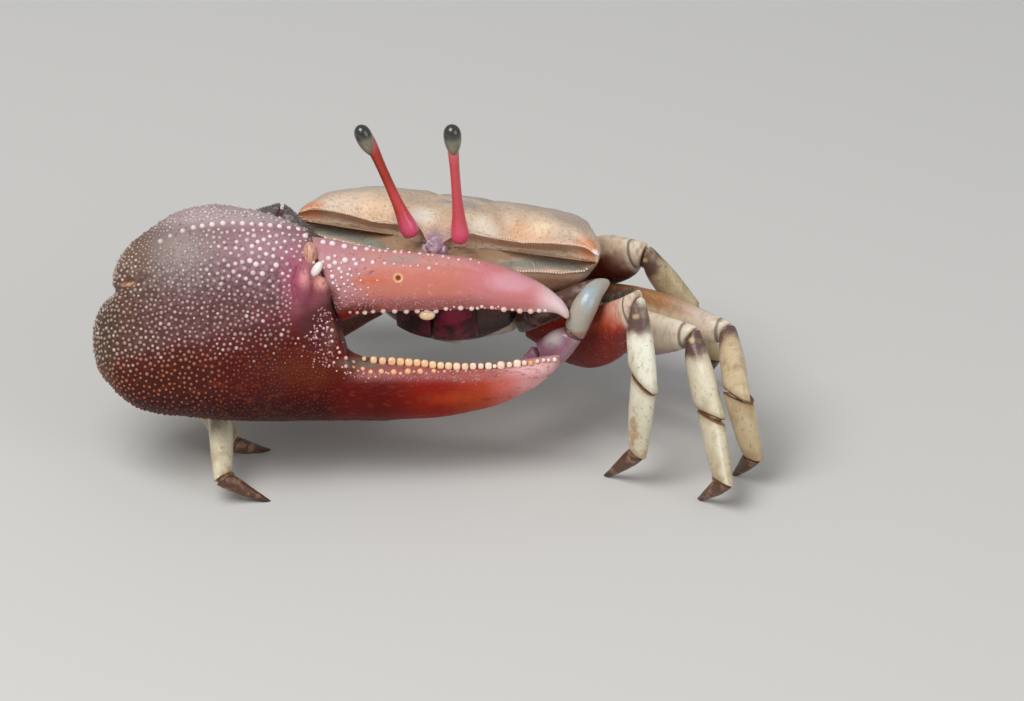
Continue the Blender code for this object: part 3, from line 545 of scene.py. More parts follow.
def edge_beads(piece, line, first, last, count, drop, half):
    """A row of beads along a line across the body, each set where the piece shows from the front."""
    tree = tree_of(piece)
    spots = []
    for side in (-1, 1):
        for i in range(count):
            x = first + (last - first) * i / (count - 1)
            start = at(side * x, along(line, x) - 4.0, along(line, x, 2) + drop)
            hit, normal, index, distance = tree.ray_cast(start, Vector((0, 1, 0)))
            if hit is not None and distance < 6.5 * MM:
                spots.append((hit, Vector((0, -1, 0.3)).normalized(), half, half * 0.9))
    return spots


brow_beads = edge_beads(back_shell, BROW, 3.6, 15.0, 46, 0.10, 0.13)
lip_beads = edge_beads(face_shell, LIP, 4.2, 14.8, 40, 0.06, 0.14)
bead = Paint("brow_and_lip_beads", brow)
bead.coat((0.78, 0.58, 0.44))
bead.band((0.86, 0.72, 0.62), "tone", 0.4, 1.0, 0.7)
bead_skin = bead.done(0.3, 0.05, coat=0.3)
dress(many("brow_beads", brow_beads, 8, 6), bead_skin, "shell")
dress(many("lip_beads", lip_beads, 8, 6), bead_skin, "face")


def ball(centre, radii, axes, name="ball", segments=24, rings=16):
    """A closed ellipsoid whose half sizes lie along three given axes."""
    bpy.ops.object.select_all(action="DESELECT")
    bpy.ops.mesh.primitive_uv_sphere_add(segments=segments, ring_count=rings, radius=1, location=centre,
                                         rotation=Matrix(axes).transposed().to_euler(),
                                         scale=tuple(r * MM for r in radii))
    piece = bpy.context.object
    piece.name = name
    bpy.ops.object.transform_apply(location=True, rotation=True, scale=True)
    return piece


def union(piece, others):
    """Join overlapping closed pieces into one skin."""
    for other in others:
        apply(piece, "BOOLEAN", operation="UNION", solver="EXACT", object=other)
        bpy.data.objects.remove(other)


def regrid(piece, size, rounds, factor=0.5):
    """Cover a piece with an even fine mesh and smooth it."""
    apply(piece, "REMESH", mode="VOXEL", voxel_size=size * MM)
    apply(piece, "SMOOTH", factor=factor, iterations=rounds)


# The narrow front lobe between the eyes ends in a lumpy tip with a pale knob, where the feelers fold.
FRAME_AXES = (Vector((1, 0, 0)), Vector((0, 1, 0)), Vector((0, 0, 1)))
LOBE_LUMPS = ((0.0, -4.75, 1.1, 0.95), (-0.75, -4.7, 0.7, 0.55), (0.8, -4.7, 0.65, 0.6),
              (-0.35, -4.95, 0.1, 0.6), (0.5, -4.95, 0.0, 0.55), (0.1, -5.05, -0.55, 0.5),
              (-0.7, -4.75, -0.35, 0.4), (0.95, -4.7, -0.4, 0.4))
lumps = [ball(at(x, y, z), (r, r, r), FRAME_AXES, "front_lobe_tip") for x, y, z, r in LOBE_LUMPS]
union(lumps[0], lumps[1:])
lobe_tip = lumps[0]
regrid(lobe_tip, 0.09, 2)
push_out(lobe_tip, lambda point, way: 0.10 * noise.noise((point - brow) / MM * 2.2)
         + 0.06 * noise.noise((point - brow) / MM * 5.0))
lobe_look = Paint("mauve_front_lobe", brow)
lobe_look.coat((0.36, 0.21, 0.28))
lobe_look.specks((0.62, 0.46, 0.48), 0.6, 4, 0.48, 0.62, 0.8)
lobe_look.specks((0.16, 0.07, 0.11), 0.45, 3, 0.58, 0.68, 0.7)
lobe_look.spot((0.74, 0.52, 0.36), (0.0, -5.5, -0.1), (0.6, 0.7, 0.45), 0.85, 0.6, 0.1)
lobe_look.raise_by(lobe_look.grain(0.25, 3), 0.08)
dress(lobe_tip, lobe_look.done(0.36, 0.1, coat=0.2), "face")

# UNDERSIDE AND MOUTH
# The breast plates between the legs are pale and smooth. Two leaf-like mouth plates close the mouth,
# and the narrow tail flap of a male lies folded against the breast.
belly = Paint("pale_breast_plates", brow)
belly.coat((0.50, 0.40, 0.32))
belly.specks((0.66, 0.56, 0.46), 3.0, 4, 0.45, 0.62)
belly.specks((0.30, 0.16, 0.10), 1.2, 4, 0.58, 0.74, 0.5)
belly.raise_by(belly.grain(0.6, 4), 0.10)
belly_skin = belly.done(0.45, 0.1, coat=0.15)
dress(underside, belly_skin, "underside", "thorax")


def from_node(node, name):
    """A new piece that starts as a merged copy of a CAD node, with its triangles paired up."""
    piece = bpy.data.objects.new(name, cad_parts[node].data.copy())
    bpy.context.scene.collection.objects.link(piece)
    only(piece)
    bpy.ops.object.mode_set(mode="EDIT")
    bpy.ops.mesh.select_all(action="SELECT")
    bpy.ops.mesh.remove_doubles(threshold=1e-6)
    bpy.ops.mesh.tris_convert_to_quads(face_threshold=math.radians(60), shape_threshold=math.radians(60))
    bpy.ops.object.mode_set(mode="OBJECT")
    return piece


mouth = Paint("mouth_plates", brow)
mouth.coat((0.055, 0.012, 0.012))
mouth.specks((0.20, 0.018, 0.035), 1.6, 3, 0.45, 0.62)
mouth.spot((0.36, 0.035, 0.085), (2.2, -5.0, -6.4), (1.8, 4.0, 1.5), 0.9, 0.3, 0.3)
mouth.raise_by(mouth.grain(0.4, 4), 0.1)
mouth_skin = mouth.done(0.35, 0.1, coat=0.2, specular=0.3)
for side in ("left", "right"):
    plate = from_node("mouth_plate_" + side, "mouth_leaf_" + side)
    apply(plate, "BEVEL", width=0.25 * MM, segments=3, limit_method="ANGLE")
    smooth_cage(plate, 2)
    dress(plate, mouth_skin, "underside", "mouth_plate_" + side)
flap = from_node("abdomen", "tail_flap")
apply(flap, "BEVEL", width=0.2 * MM, segments=2, limit_method="ANGLE")
smooth_cage(flap, 2)
dress(flap, belly_skin, "underside", "abdomen")

# EYES
# Each eye sits on a long slender stalk of bare coral red skin, swollen at its foot, and the dark
# lens wraps the outer side of the stalk's tip.
EYE_ROOTS = {"right": (-2.6, -3.8, 1.3), "left": (2.5, -3.8, 1.35)}
EYE_TIPS = {"right": (-7.9, -4.2, 14.1), "left": (1.5, -3.8, 15.3)}
# Share of the way along the stalk or the lens, and the radius there.
STALK = ((0.0, 0.45), (0.02, 0.85), (0.06, 1.0), (0.11, 0.95), (0.18, 0.76), (0.3, 0.57), (0.5, 0.50),
         (0.66, 0.52), (0.76, 0.62), (0.84, 0.62), (0.92, 0.5), (0.97, 0.30))
LENS = ((0.0, 0.05), (0.05, 0.24), (0.15, 0.52), (0.3, 0.78), (0.48, 0.96), (0.66, 1.0), (0.8, 0.93),
        (0.9, 0.74), (0.97, 0.42), (1.0, 0.05))
LENS_LENGTH = 3.75
# Each lens: how far its middle stands off the stalk's line, how far its top is from the tip, its radius.
LENSES = {"right": (0.30, -0.22, 0.92), "left": (-0.10, -0.18, 0.96)}
LENS_FORWARD = 0.2
for side, root in EYE_ROOTS.items():
    start, tip = at(*root), at(*EYE_TIPS[side])
    way = (tip - start).normalized()
    wide = way.cross(Vector((0, 1, 0))).normalized()
    axes = (wide, way.cross(wide), way)
    rings = [(start.lerp(tip, share), axes, radius, radius) for share, radius in STALK]
    stalk = tube("eyestalk_" + side + "_skin", rings, 16)
    smooth_cage(stalk, 2)
    skin = Paint("coral_stalk_" + side, start, axes)
    if side == "right":
        skin.coat((0.56, 0.05, 0.045))
        skin.band((0.72, 0.10, 0.20), "Z", 3.6, 1.0, 0.95)
        skin.band((0.36, 0.022, 0.004), "Z", 4.6, 7.4, 0.95)
        skin.spot((0.06, 0.010, 0.006), (0.6, 0, 8.8), (0.7, 1.4, 2.8), 0.85, 0.5, 0.1)
        skin.band((0.50, 0.10, 0.08), "Z", 10.0, 11.2, 0.8)
        skin.band((0.42, 0.24, 0.10), "Z", 11.6, 12.8, 0.8)
    else:
        skin.coat((0.60, 0.065, 0.08))
        skin.band((0.74, 0.09, 0.18), "Z", 3.6, 1.0, 0.9)
        skin.band((0.70, 0.16, 0.18), "Z", 9.0, 11.0, 0.8)
    skin.spot((0.44, 0.20, 0.08), (0, 0, -0.4), (1.6, 1.6, 0.8), 0.6)
    skin.raise_by(skin.grain(0.5, 3), 0.05)
    dress(stalk, skin.done(0.30, 0.08, coat=0.35, coat_roughness=0.1), "eyestalk", "eyestalk_" + side)
    aside, top, radius = LENSES[side]
    foot = tip + (way * (top - LENS_LENGTH) + wide * aside + axes[1] * LENS_FORWARD) * MM
    rings = [(foot + way * share * LENS_LENGTH * MM, axes, radius * size, radius * size * 0.95)
             for share, size in LENS]
    eye = tube("eye_lens_" + side, rings, 24)
    smooth_cage(eye, 2)
    lens = Paint("dark_wet_lens_" + side, foot, axes)
    up = lens.axis("Z")
    lens.coat((0.19, 0.18, 0.12))
    lens.specks((0.30, 0.28, 0.20), 0.9, 3, 0.50, 0.64, 0.5, (1, 1, 0.4))
    lens.band((0.018, 0.016, 0.014), up, 1.9, 2.7, 0.92)
    lens.spot((0.26, 0.12, 0.02), (0.5, -0.7, 2.7), (0.5, 0.7, 0.9), 0.75, 0.8, 0.1)
    lens.band((0.03, 0.018, 0.012), up, 0.7, 0.2, 0.85)
    lens.raise_by(lens.pebbles(0.08, 0.2), 0.006)
    dress(eye, lens.done(0.14, 0.04, coat=0.7, coat_roughness=0.05), "cornea", "eye_" + side)

# GREAT CLAW, HAND
# The hand of the great claw is one hollow box of hard shell that runs out into the fixed finger. Its
# outer face is grey above, mauve in the middle and deep red below, and bears hundreds of warts.
CLAW_TURN = math.radians(16.0)
CLAW_TILT = math.radians(22.0)
SIGHT_RISE = math.radians(30.0)
SLANT = math.tan(SIGHT_RISE - CLAW_TILT)
CLAW_FORWARD = 10.4
CLAW_DROP = 5.97
toward = Vector((math.cos(CLAW_TURN), math.sin(CLAW_TURN), 0))
outward = Vector((math.sin(CLAW_TURN) * math.cos(CLAW_TILT), -math.cos(CLAW_TURN) * math.cos(CLAW_TILT),
                  math.sin(CLAW_TILT)))
face_up = outward.cross(toward)
sight = -(outward + face_up * SLANT).normalized()
claw_axes = (toward, face_up, outward)
claw_look = (toward, face_up - outward * SLANT, outward)
claw_origin = at(math.sin(CLAW_TURN) * CLAW_FORWARD, -math.cos(CLAW_TURN) * CLAW_FORWARD, -CLAW_DROP)


def on_claw(a, b, c):
    """A point given along the claw, up its face and out of its face, in millimetres."""
    return claw_origin + (toward * a + face_up * b + outward * c) * MM


def seen_at(a, b, c=0.0):
    """A point c out of the claw's face that shows at a along it and b up it, as seen from the front."""
    return on_claw(a, b + SLANT * c, c)


def seen_place(point):
    """Where a point of the claw shows: along the claw, up its face, and its depth out of the face."""
    away = (point - claw_origin) / MM
    return away.dot(toward), away.dot(face_up) - SLANT * away.dot(outward), away.dot(outward)


def eased(table, where):
    """All the values of a table of rows at a place, on a curve that runs smoothly through them."""
    if where <= table[0][0]:
        return table[0][1:]
    if where >= table[-1][0]:
        return table[-1][1:]
    i = next(k for k in range(len(table) - 1) if where <= table[k + 1][0])
    low, high = table[i], table[i + 1]
    before, after = table[max(i - 1, 0)], table[min(i + 2, len(table) - 1)]
    run = high[0] - low[0]
    share = (where - low[0]) / run
    values = []
    for k in range(1, len(low)):
        leaving = (high[k] - before[k]) / (high[0] - before[0]) * run
        coming = (after[k] - low[k]) / (after[0] - low[0]) * run
        values.append((2 * share ** 3 - 3 * share ** 2 + 1) * low[k]
                      + (share ** 3 - 2 * share ** 2 + share) * leaving
                      + (3 * share ** 2 - 2 * share ** 3) * high[k] + (share ** 3 - share ** 2) * coming)
    return values


def claw_tube(name, table, count, sides, power=0.9):
    """A closed skin along the claw, through rows of place, low edge, high edge, half thickness, lean."""
    rings = []
    for i in range(count):
        share = i / (count - 1)
        where = table[0][0] + (table[-1][0] - table[0][0]) * (0.5 - 0.5 * math.cos(math.pi * share))
        low, high, thick, lean = eased(table, where)
        tall = (face_up - outward * lean).normalized()
        axes = (outward, tall, toward)
        centre = on_claw(where, (low + high) / 2, 0)
        rings.append((centre, axes, max(thick, 0.05), max((high - low) / 2, 0.05)))
    return tube(name, rings, sides, power)


HAND = ((-36.0, -1.2, 0.4, 0.4, 0.0), (-35.8, -2.6, 1.5, 1.5, 0.0), (-35.3, -3.8, 2.7, 2.7, 0.01),
        (-34.7, -4.7, 3.6, 3.6, 0.02), (-34.1, -5.3, 5.2, 4.1, 0.03), (-33.6, -5.9, 7.3, 4.6, 0.05),
        (-32.6, -6.7, 8.9, 5.0, 0.06), (-31.2, -7.5, 10.1, 5.4, 0.08), (-28.8, -8.0, 11.8, 5.8, 0.10),
        (-26.9, -8.2, 12.7, 6.0, 0.10), (-24.1, -8.45, 13.3, 6.1, 0.11), (-21.6, -8.6, 13.0, 6.1, 0.12),
        (-19.0, -8.7, 12.5, 6.0, 0.12), (-16.5, -8.7, 11.7, 5.6, 0.10), (-13.4, -8.7, 10.5, 4.9, 0.06),
        (-9.0, -8.7, 9.0, 4.0, 0.0))
HAND_END = ((-14.3, 10.4), (-10.9, 0.4))
FIXED_FINGER = ((-17.5, -7.9, -1.4, 3.9, 0.0), (-14.2, -8.5, 1.0, 4.0, 0.0), (-12.6, -8.6, 0.7, 4.1, 0.0),
                (-11.2, -8.7, -0.4, 4.0, 0.0), (-10.1, -8.75, -1.5, 3.95, 0.0),
                (-8.8, -8.75, -2.2, 3.9, 0.0), (-7.5, -8.75, -2.4, 3.7, 0.0),
                (-5.0, -8.7, -2.6, 3.4, 0.0), (0.0, -8.3, -2.95, 2.9, 0.0),
                (3.2, -7.7, -2.95, 2.6, 0.0), (6.4, -6.7, -2.75, 2.2, 0.0), (9.0, -5.3, -2.4, 1.6, 0.0),
                (10.8, -3.9, -2.1, 1.0, 0.0), (11.5, -2.9, -2.1, 0.4, 0.0))
hand = claw_tube("claw_hand", HAND, 56, 48)
end_way = Vector((HAND_END[1][0] - HAND_END[0][0], HAND_END[1][1] - HAND_END[0][1]))
end_normal = (toward * -end_way.y + face_up * end_way.x).normalized()
cut_away(hand, on_claw(*HAND_END[0], 0), end_normal)
finger_root = claw_tube("finger_root", FIXED_FINGER, 40, 36, 0.95)

# The hinge of the moving finger: two smooth lobes, the plate below them, and a swelling at the back.
lobes = [ball(seen_at(a, b, c), radii, claw_axes) for a, b, c, radii in (
    (-14.45, 4.5, 4.15, (0.95, 2.4, 1.0)), (-12.75, 3.9, 3.9, (1.0, 2.1, 1.0)),
    (-13.6, 2.6, 3.7, (1.8, 2.6, 1.2)), (-22.2, 1.8, -4.6, (6.5, 5.4, 2.4)))]
union(hand, [finger_root] + lobes)
regrid(hand, 0.17, 5)

HAND_CREASE = ((-34.6, 4.4), (-33.4, 4.75), (-31.8, 5.6), (-30.6, 6.0))
LOBE_CREASE = ((-15.15, 6.9), (-15.6, 5.2), (-15.3, 3.6))
LOBE_CLEFT = ((-13.75, 6.8), (-13.72, 5.6))


def hand_relief(point, way):
    """Height of the hand's creases, dents and swells at a point."""
    a, b, c = seen_place(point)
    reach = max(0.0, min(1.0, (-30.4 - a) / 2.4))
    notch = 0.62 * reach * math.exp(-(away_from(a, b, HAND_CREASE) / 0.62) ** 2)
    if c > 2.5:
        notch += 0.26 * furrow(a, b, LOBE_CREASE, 0.17) + 0.2 * furrow(a, b, LOBE_CLEFT, 0.2)
    spot = Vector((a, b, c))
    return 0.10 * noise.noise(spot * 0.30) + 0.03 * noise.noise(spot * 1.3) - notch


push_out(hand, hand_relief)
apply(hand, "SMOOTH", factor=0.5, iterations=2)


def claw_zones(skin, pick):
    """Lay the claw's colours; of each pair pick 0 is the bare shell's, its own colour darkened with painted
    shade between the warts, and 1 the warts'.
    """
    a, b = skin.axis("X"), skin.axis("Y")
    fall = skin.math("SUBTRACT", b, skin.both(a, 0.25))
    fall = skin.math("ADD", fall, skin.both(skin.math("SUBTRACT", skin.grain(2.0, 3), 0.5), 3.0))
    skin.coat(((0.165, 0.072, 0.070), (0.42, 0.265, 0.27))[pick])
    skin.spot(((0.35, 0.28, 0.26), (0.50, 0.43, 0.42))[pick],
              (-28.0, 8.4, 2), (10.0, 6.6, 14), 0.95, 0.5, 0.1)
    skin.spot(((0.40, 0.23, 0.26), (0.84, 0.66, 0.68))[pick],
              (-18.2, 8.4, 2), (9.5, 6.2, 14), 0.95, 0.4, 0.1)
    skin.band(((0.46, 0.35, 0.35), (0.62, 0.50, 0.50))[pick], b, 10.6, 12.0, 0.95)
    skin.band(((0.13, 0.065, 0.040), (0.36, 0.27, 0.22))[pick], a, -26.0, -33.5, 0.9)
    skin.spot(((0.22, 0.13, 0.085), (0.50, 0.40, 0.33))[pick],
              (-32.6, 7.4, 2), (3.2, 3.8, 14), 0.8, 0.8, 0.1)
    skin.spot(((0.24, 0.035, 0.060), (0.56, 0.26, 0.30))[pick],
              (-16.2, 1.6, 3), (6.0, 2.4, 14), 0.7, 0.4, 0.0)
    low = skin.between(fall, 6.9, 3.4)
    skin.coat(((0.088, 0.0025, 0.001), (0.19, 0.028, 0.011))[pick], low, 0.99)
    edge = skin.both(skin.between(fall, 2.6, 4.4), skin.between(fall, 6.6, 4.9))
    skin.coat(((0.13, 0.02, 0.018), (0.40, 0.23, 0.19))[pick], edge, 0.6)
    corner = skin.both(low, skin.between(a, -21.0, -26.5))
    skin.coat(((0.065, 0.010, 0.004), (0.36, 0.11, 0.05))[pick], corner, 0.9)
    # Painted shade: the claw's colours darken further towards its bottom edge.
    skin.band(((0.030, 0.0015, 0.001), (0.10, 0.012, 0.005))[pick], b, -5.0, -8.2, 0.9)
    skin.spot(((0.40, 0.085, 0.15), (0.74, 0.36, 0.43))[pick],
              (-15.4, 5.9, 3), (3.0, 5.2, 14), 0.9, 0.4, 0.0)
    skin.band((0.10, 0.003, 0.001), a, -13.0, -10.0, 0.95)
    skin.band((0.24, 0.008, 0.002), a, -7.0, -1.5, 0.95)
    skin.band((0.40, 0.05, 0.02), a, -1.0, 4.5, 0.95)
    skin.band((0.55, 0.14, 0.115), a, 3.5, 6.5, 0.95)
    skin.band((0.70, 0.33, 0.33), a, 6.0, 8.5, 0.95)
    skin.band((0.88, 0.66, 0.67), a, 8.5, 11.0, 0.95)
    return a, b


# The bare shell between the warts carries painted shade: its colours are kept darker than the warts'.
shell_red = Paint("claw_hand_shell", claw_origin, claw_look)
a, b = claw_zones(shell_red, 0)
finger = shell_red.between(a, -11.0, -8.0)
upper_edge = shell_red.both(finger, shell_red.between(b, -5.2, -4.0))
shell_red.coat((0.42, 0.15, 0.14), upper_edge, 0.7)
shell_red.spot((0.80, 0.46, 0.45), (8.5, -3.4, 1), (4.5, 1.4, 6), 0.8, 0.0, 0.1)
shell_red.spot((0.42, 0.055, 0.008), (0.9, -6.6, 2), (4.6, 1.2, 8), 0.6, 0.5, 0.0)
shell_red.spot((0.14, 0.030, 0.010), (-14.5, -3.4, 3), (7.5, 3.2, 14), 0.6, 0.9, 0.0)
shell_red.spot((0.20, 0.155, 0.12), (-8.7, -2.9, 3), (3.4, 0.95, 6), 0.95, 0.5, 0.3)
shell_red.spot((0.17, 0.085, 0.070), (-11.9, -0.2, 3), (1.2, 2.4, 6), 0.9, 0.4, 0.2)
shell_red.spot((0.070, 0.018, 0.024), (-13.4, 0.9, 4), (2.8, 4.6, 3), 0.9, 0.5, 0.2)
shell_red.spot((0.26, 0.05, 0.075), (-13.7, 4.3, 4), (2.4, 2.2, 3), 0.9, 0.4, 0.2)
shell_red.spot((0.70, 0.27, 0.27), (-14.45, 5.9, 4.6), (1.1, 1.7, 2.4), 0.9, 0.2, 0.1)
shell_red.spot((0.72, 0.32, 0.25), (-12.75, 5.4, 4.3), (1.2, 1.4, 2.4), 0.9, 0.2, 0.1)
shell_red.spot((0.80, 0.42, 0.26), (-32.4, 5.2, 2), (1.5, 0.42, 6), 0.85, 0.9, 0.1)
shell_red.band((0.10, 0.075, 0.04), a, -33.2, -34.8, 0.9)
fleck = shell_red.between(shell_red.grain(0.36, 2), 0.58, 0.68)
shell_red.coat((0.12, 0.07, 0.06), shell_red.both(fleck, shell_red.between(b, 2.0, 6.0)), 0.6)
net = shell_red.both(shell_red.between(shell_red.pebbles(0.5), 0.30, 0.60), shell_red.between(b, 9.5, 5.5))
net = shell_red.both(net, shell_red.between(a, -15.2, -17.4))
shell_red.coat((0.05, 0.018, 0.018), net, 0.5)
red_vein = shell_red.between(shell_red.grain(0.55, 4, (0.5, 1.3, 1)), 0.53, 0.66)
shell_red.coat((0.19, 0.035, 0.010), shell_red.both(red_vein, shell_red.between(b, 0.5, -2.0)), 0.45)
shell_red.raise_by(shell_red.between(shell_red.pebbles(0.34), 0.5, 0.0), 0.045)
shell_red.raise_by(shell_red.grain(0.25, 3), 0.05)
hand_skin = shell_red.done(0.42, 0.08, coat=0.03, coat_roughness=0.2, specular=0.12)
dress(hand, hand_skin, "great_claw", "great_claw_palm")

# Warts: each is a small closed dome set half into the shell, thick and crowded on the hand's face.
CREST = ((-29.5, 9.3), (-28.7, 9.85), (-27.5, 10.4), (-26.2, 10.9), (-24.4, 11.25), (-22.2, 11.5),
         (-20.3, 11.4), (-17.5, 11.2), (-13.7, 10.6))
hand_tree = tree_of(hand)


def scatter(piece, tries, spacing):
    """Points spread over a piece, no two nearer than spacing(point) asks; None leaves a spot bare."""
    mesh = piece.data
    mesh.calc_loop_triangles()
    triangles = [tuple(t.vertices) for t in mesh.loop_triangles]
    areas = [t.area for t in mesh.loop_triangles]
    normals = [t.normal.copy() for t in mesh.loop_triangles]
    chosen = random.choices(range(len(triangles)), weights=areas, k=tries)
    cells, found = {}, []
    for index in chosen:
        i, j, k = triangles[index]
        u, v = random.random(), random.random()
        if u + v > 1:
            u, v = 1 - u, 1 - v
        point = mesh.vertices[i].co * (1 - u - v) + mesh.vertices[j].co * u + mesh.vertices[k].co * v
        gap = spacing(point)
        if gap is None:
            continue
        gap *= MM
        cell = tuple(int(c // (1.0 * MM)) for c in point)
        near = (other for dx in (-1, 0, 1) for dy in (-1, 0, 1) for dz in (-1, 0, 1)
                for other in cells.get((cell[0] + dx, cell[1] + dy, cell[2] + dz), ()))
        if all((other - point).length > gap for other in near):
            cells.setdefault(cell, []).append(point)
            found.append((point, normals[index]))
    return found


def within(value, low, high):
    """0 where a value is at low or beyond, 1 at high or beyond, and straight in between."""
    return min(max((value - low) / (high - low), 0.0), 1.0)


def swell_at(a, b, centre, reach):
    """1 at a spot of the claw's face, 0 at its reach."""
    away = math.hypot((a - centre[0]) / reach[0], (b - centre[1]) / reach[1])
    return max(0.0, 1.0 - away * away)


def wart_size(a, b):
    """Half width of the warts at a place on the hand."""
    size = 0.185 + 0.10 * swell_at(a, b, (-19.0, 8.0), (7.5, 4.4))
    size -= 0.07 * swell_at(a, b, (-28.6, 8.6), (6.0, 3.4))
    size -= 0.05 * within(a, -17.2, -15.2) * within(b, 0.0, 2.0)
    size -= 0.10 * within(a - 0.5 * b, -21.0, -15.0) * within(-b, 0.6, 3.0)
    size -= 0.03 * within(-b, 3.0, 6.0)
    return max(size, 0.07)


def wart_gap(point):
    """How far apart the warts stand at a place on the hand, or None where there are none."""
    a, b, c = seen_place(point)
    if a > -11.2 or (a > -15.8 and -0.2 < b < 7.4 and c > 0) or a < -36.6:
        return None
    if away_from(a, b, HAND_CREASE) < 0.35 or (c > 0.5 and away_from(a, b, CREST) < 0.55):
        return None
    if c < 0:
        return 0.85
    size = wart_size(a, b)
    return 0.22 + 1.25 * size + 0.14 * swell_at(a, b, (-19.0, 8.0), (7.5, 4.4)) + 0.10 * within(-b, 2.5, 6.0)


WART_SPREAD = (0.78, 0.9, 1.0, 1.0, 1.1, 1.25)
warts_seen, warts_behind = [], []
for point, normal in scatter(hand, 90000, wart_gap):
    a, b, c = seen_place(point)
    half = wart_size(a, b) * random.choice(WART_SPREAD)
    spot = (point - normal * 0.2 * half * MM, normal, half, half * 0.95)
    (warts_seen if c > 0 else warts_behind).append(spot)
wart = Paint("claw_warts", claw_origin, claw_look)
a, b = claw_zones(wart, 1)
wart.spot((0.90, 0.78, 0.78), (-17.5, 8.2, 3), (6.5, 4.0, 12), 0.5, 0.3)
dull = wart.both(wart.between(wart.attribute("tone"), 0.45, 0.0), wart.between(b, -3.0, 1.0))
wart.coat((0.26, 0.14, 0.14), dull, 0.45)
bright = wart.both(wart.between(wart.attribute("tone"), 0.80, 1.0), wart.between(b, -5.0, -1.0))
wart.coat((0.80, 0.66, 0.60), bright, 0.6)
# Painted shade: each wart darkens towards its foot, where it meets the shell, and stays lighter at its top.
wart.band((0.12, 0.03, 0.03), "crown", 0.75, 0.1, 0.55)
wart_skin = wart.done(0.32, 0.06, coat=0.12, coat_roughness=0.16, specular=0.3)
dress(many("claw_hand_warts", warts_seen, 8, 5), wart_skin, "great_claw")
dress(many("claw_hand_back_warts", warts_behind, 7, 4), wart_skin, "great_claw")


def onto(tree, a, b, depth=1.5):
    """Where a surface shows at a place of the claw, and the surface's outward way."""
    hit, normal = tree.ray_cast(seen_at(a, b, 14.0), sight)[:2]
    if hit is None:
        hit, normal = tree.find_nearest(seen_at(a, b, depth))[:2]
    return hit, normal


def beads_at(tree, places, sink=0.15):
    """Round beads at places given as along the claw, up its face and half width, set onto a surface."""
    spots = []
    for a, b, half in places:
        hit, normal = onto(tree, a, b)
        spots.append((hit - normal * sink * half * MM, normal, half, half))
    return spots


def stepped(line, step):
    """Places at even steps along a bent line."""
    found = []
    for (a0, b0), (a1, b1) in zip(line, line[1:]):
        count = max(1, round(math.hypot(a1 - a0, b1 - b0) / step))
        found += [(a0 + (a1 - a0) * (i + 0.5) / count, b0 + (b1 - b0) * (i + 0.5) / count)
                  for i in range(count)]
    return found


# The beaded crest that parts the hand's face from its upper side.
crest = [(a, b, 0.29 * random.uniform(0.85, 1.15)) for a, b in stepped(CREST, 0.95)]
crest_beads = many("claw_crest_beads", beads_at(hand_tree, crest), 14, 9)
bead_look = Paint("claw_crest_bead", claw_origin, claw_axes)
bead_look.coat((0.86, 0.66, 0.64))
bead_look.band((0.55, 0.42, 0.40), "X", -24.0, -29.0, 0.8)
bead_look.band((0.92, 0.82, 0.78), "tone", 0.4, 1.0, 0.5)
dress(crest_beads, bead_look.done(0.26, 0.06, coat=0.3, coat_roughness=0.12), "great_claw")

# GREAT CLAW, TEETH OF THE FIXED FINGER
# Two rows of blunt hard teeth stand along the biting edge, the upper ones squarish and cream, with a
# strip of grey skin between the rows. They are part of the shell and show as they wear.

# Where each tooth or bead shows, read off one enlarged view of the claw, in pixels of that view:
# across, down and width.
VIEW_CORNER = (-14.955, 11.264)
VIEW_ACROSS = 0.018751
VIEW_DOWN = 0.018938
VIEW_WIDTH = 0.01875


def on_view(marks):
    """Marks on the enlarged view as places along the claw, up its face and half widths."""
    return [(round(x * VIEW_ACROSS + VIEW_CORNER[0], 2), round(VIEW_CORNER[1] - y * VIEW_DOWN, 2),
             round(width / 2 * VIEW_WIDTH, 2)) for x, y, width in marks]


UPPER_TEETH = on_view((
    (350, 710, 22), (400, 716, 36), (448, 722, 38), (498, 730, 42), (545, 736, 40), (590, 737, 40),
    (635, 737, 38), (678, 740, 38), (722, 742, 38), (764, 745, 36), (806, 747, 38), (850, 752, 38),
    (894, 755, 36), (938, 755, 34), (980, 755, 30), (1022, 752, 36), (1055, 757, 20), (1088, 744, 40),
    (1133, 742, 28), (1175, 733, 40), (1215, 735, 26), (1250, 738, 24), (1285, 724, 20), (1320, 716, 18),
    (1350, 716, 16), (1388, 718, 20)))
SECOND_ROW = on_view((
    (340, 780, 26), (383, 797, 28), (440, 795, 32), (467, 800, 14), (480, 805, 14), (508, 798, 34),
    (545, 805, 20), (585, 795, 36), (618, 795, 16), (652, 795, 34), (685, 803, 12), (725, 793, 28),
    (750, 797, 12), (783, 795, 20), (815, 793, 12), (853, 793, 22), (900, 793, 16), (955, 790, 12),
    (1010, 790, 12), (1050, 785, 10)))
CORNER_BEADS = on_view((
    (175, 570, 22), (150, 555, 18), (130, 560, 16), (125, 595, 18), (175, 630, 20), (95, 575, 16),
    (60, 580, 14), (90, 610, 16), (60, 620, 16), (40, 600, 12), (205, 665, 18), (230, 635, 12),
    (215, 690, 20), (250, 720, 24), (205, 720, 14), (290, 742, 22), (185, 745, 18), (160, 760, 14),
    (250, 765, 22), (290, 770, 18), (230, 770, 14), (315, 790, 16), (275, 800, 14), (200, 790, 12),
    (245, 800, 12), (110, 545, 14), (80, 545, 12), (150, 525, 14), (120, 520, 12), (170, 600, 14),
    (140, 640, 14), (110, 650, 12), (160, 690, 14), (130, 700, 12), (100, 690, 10), (345, 805, 14),
    (372, 830, 12), (410, 822, 14)))
edge_teeth = []
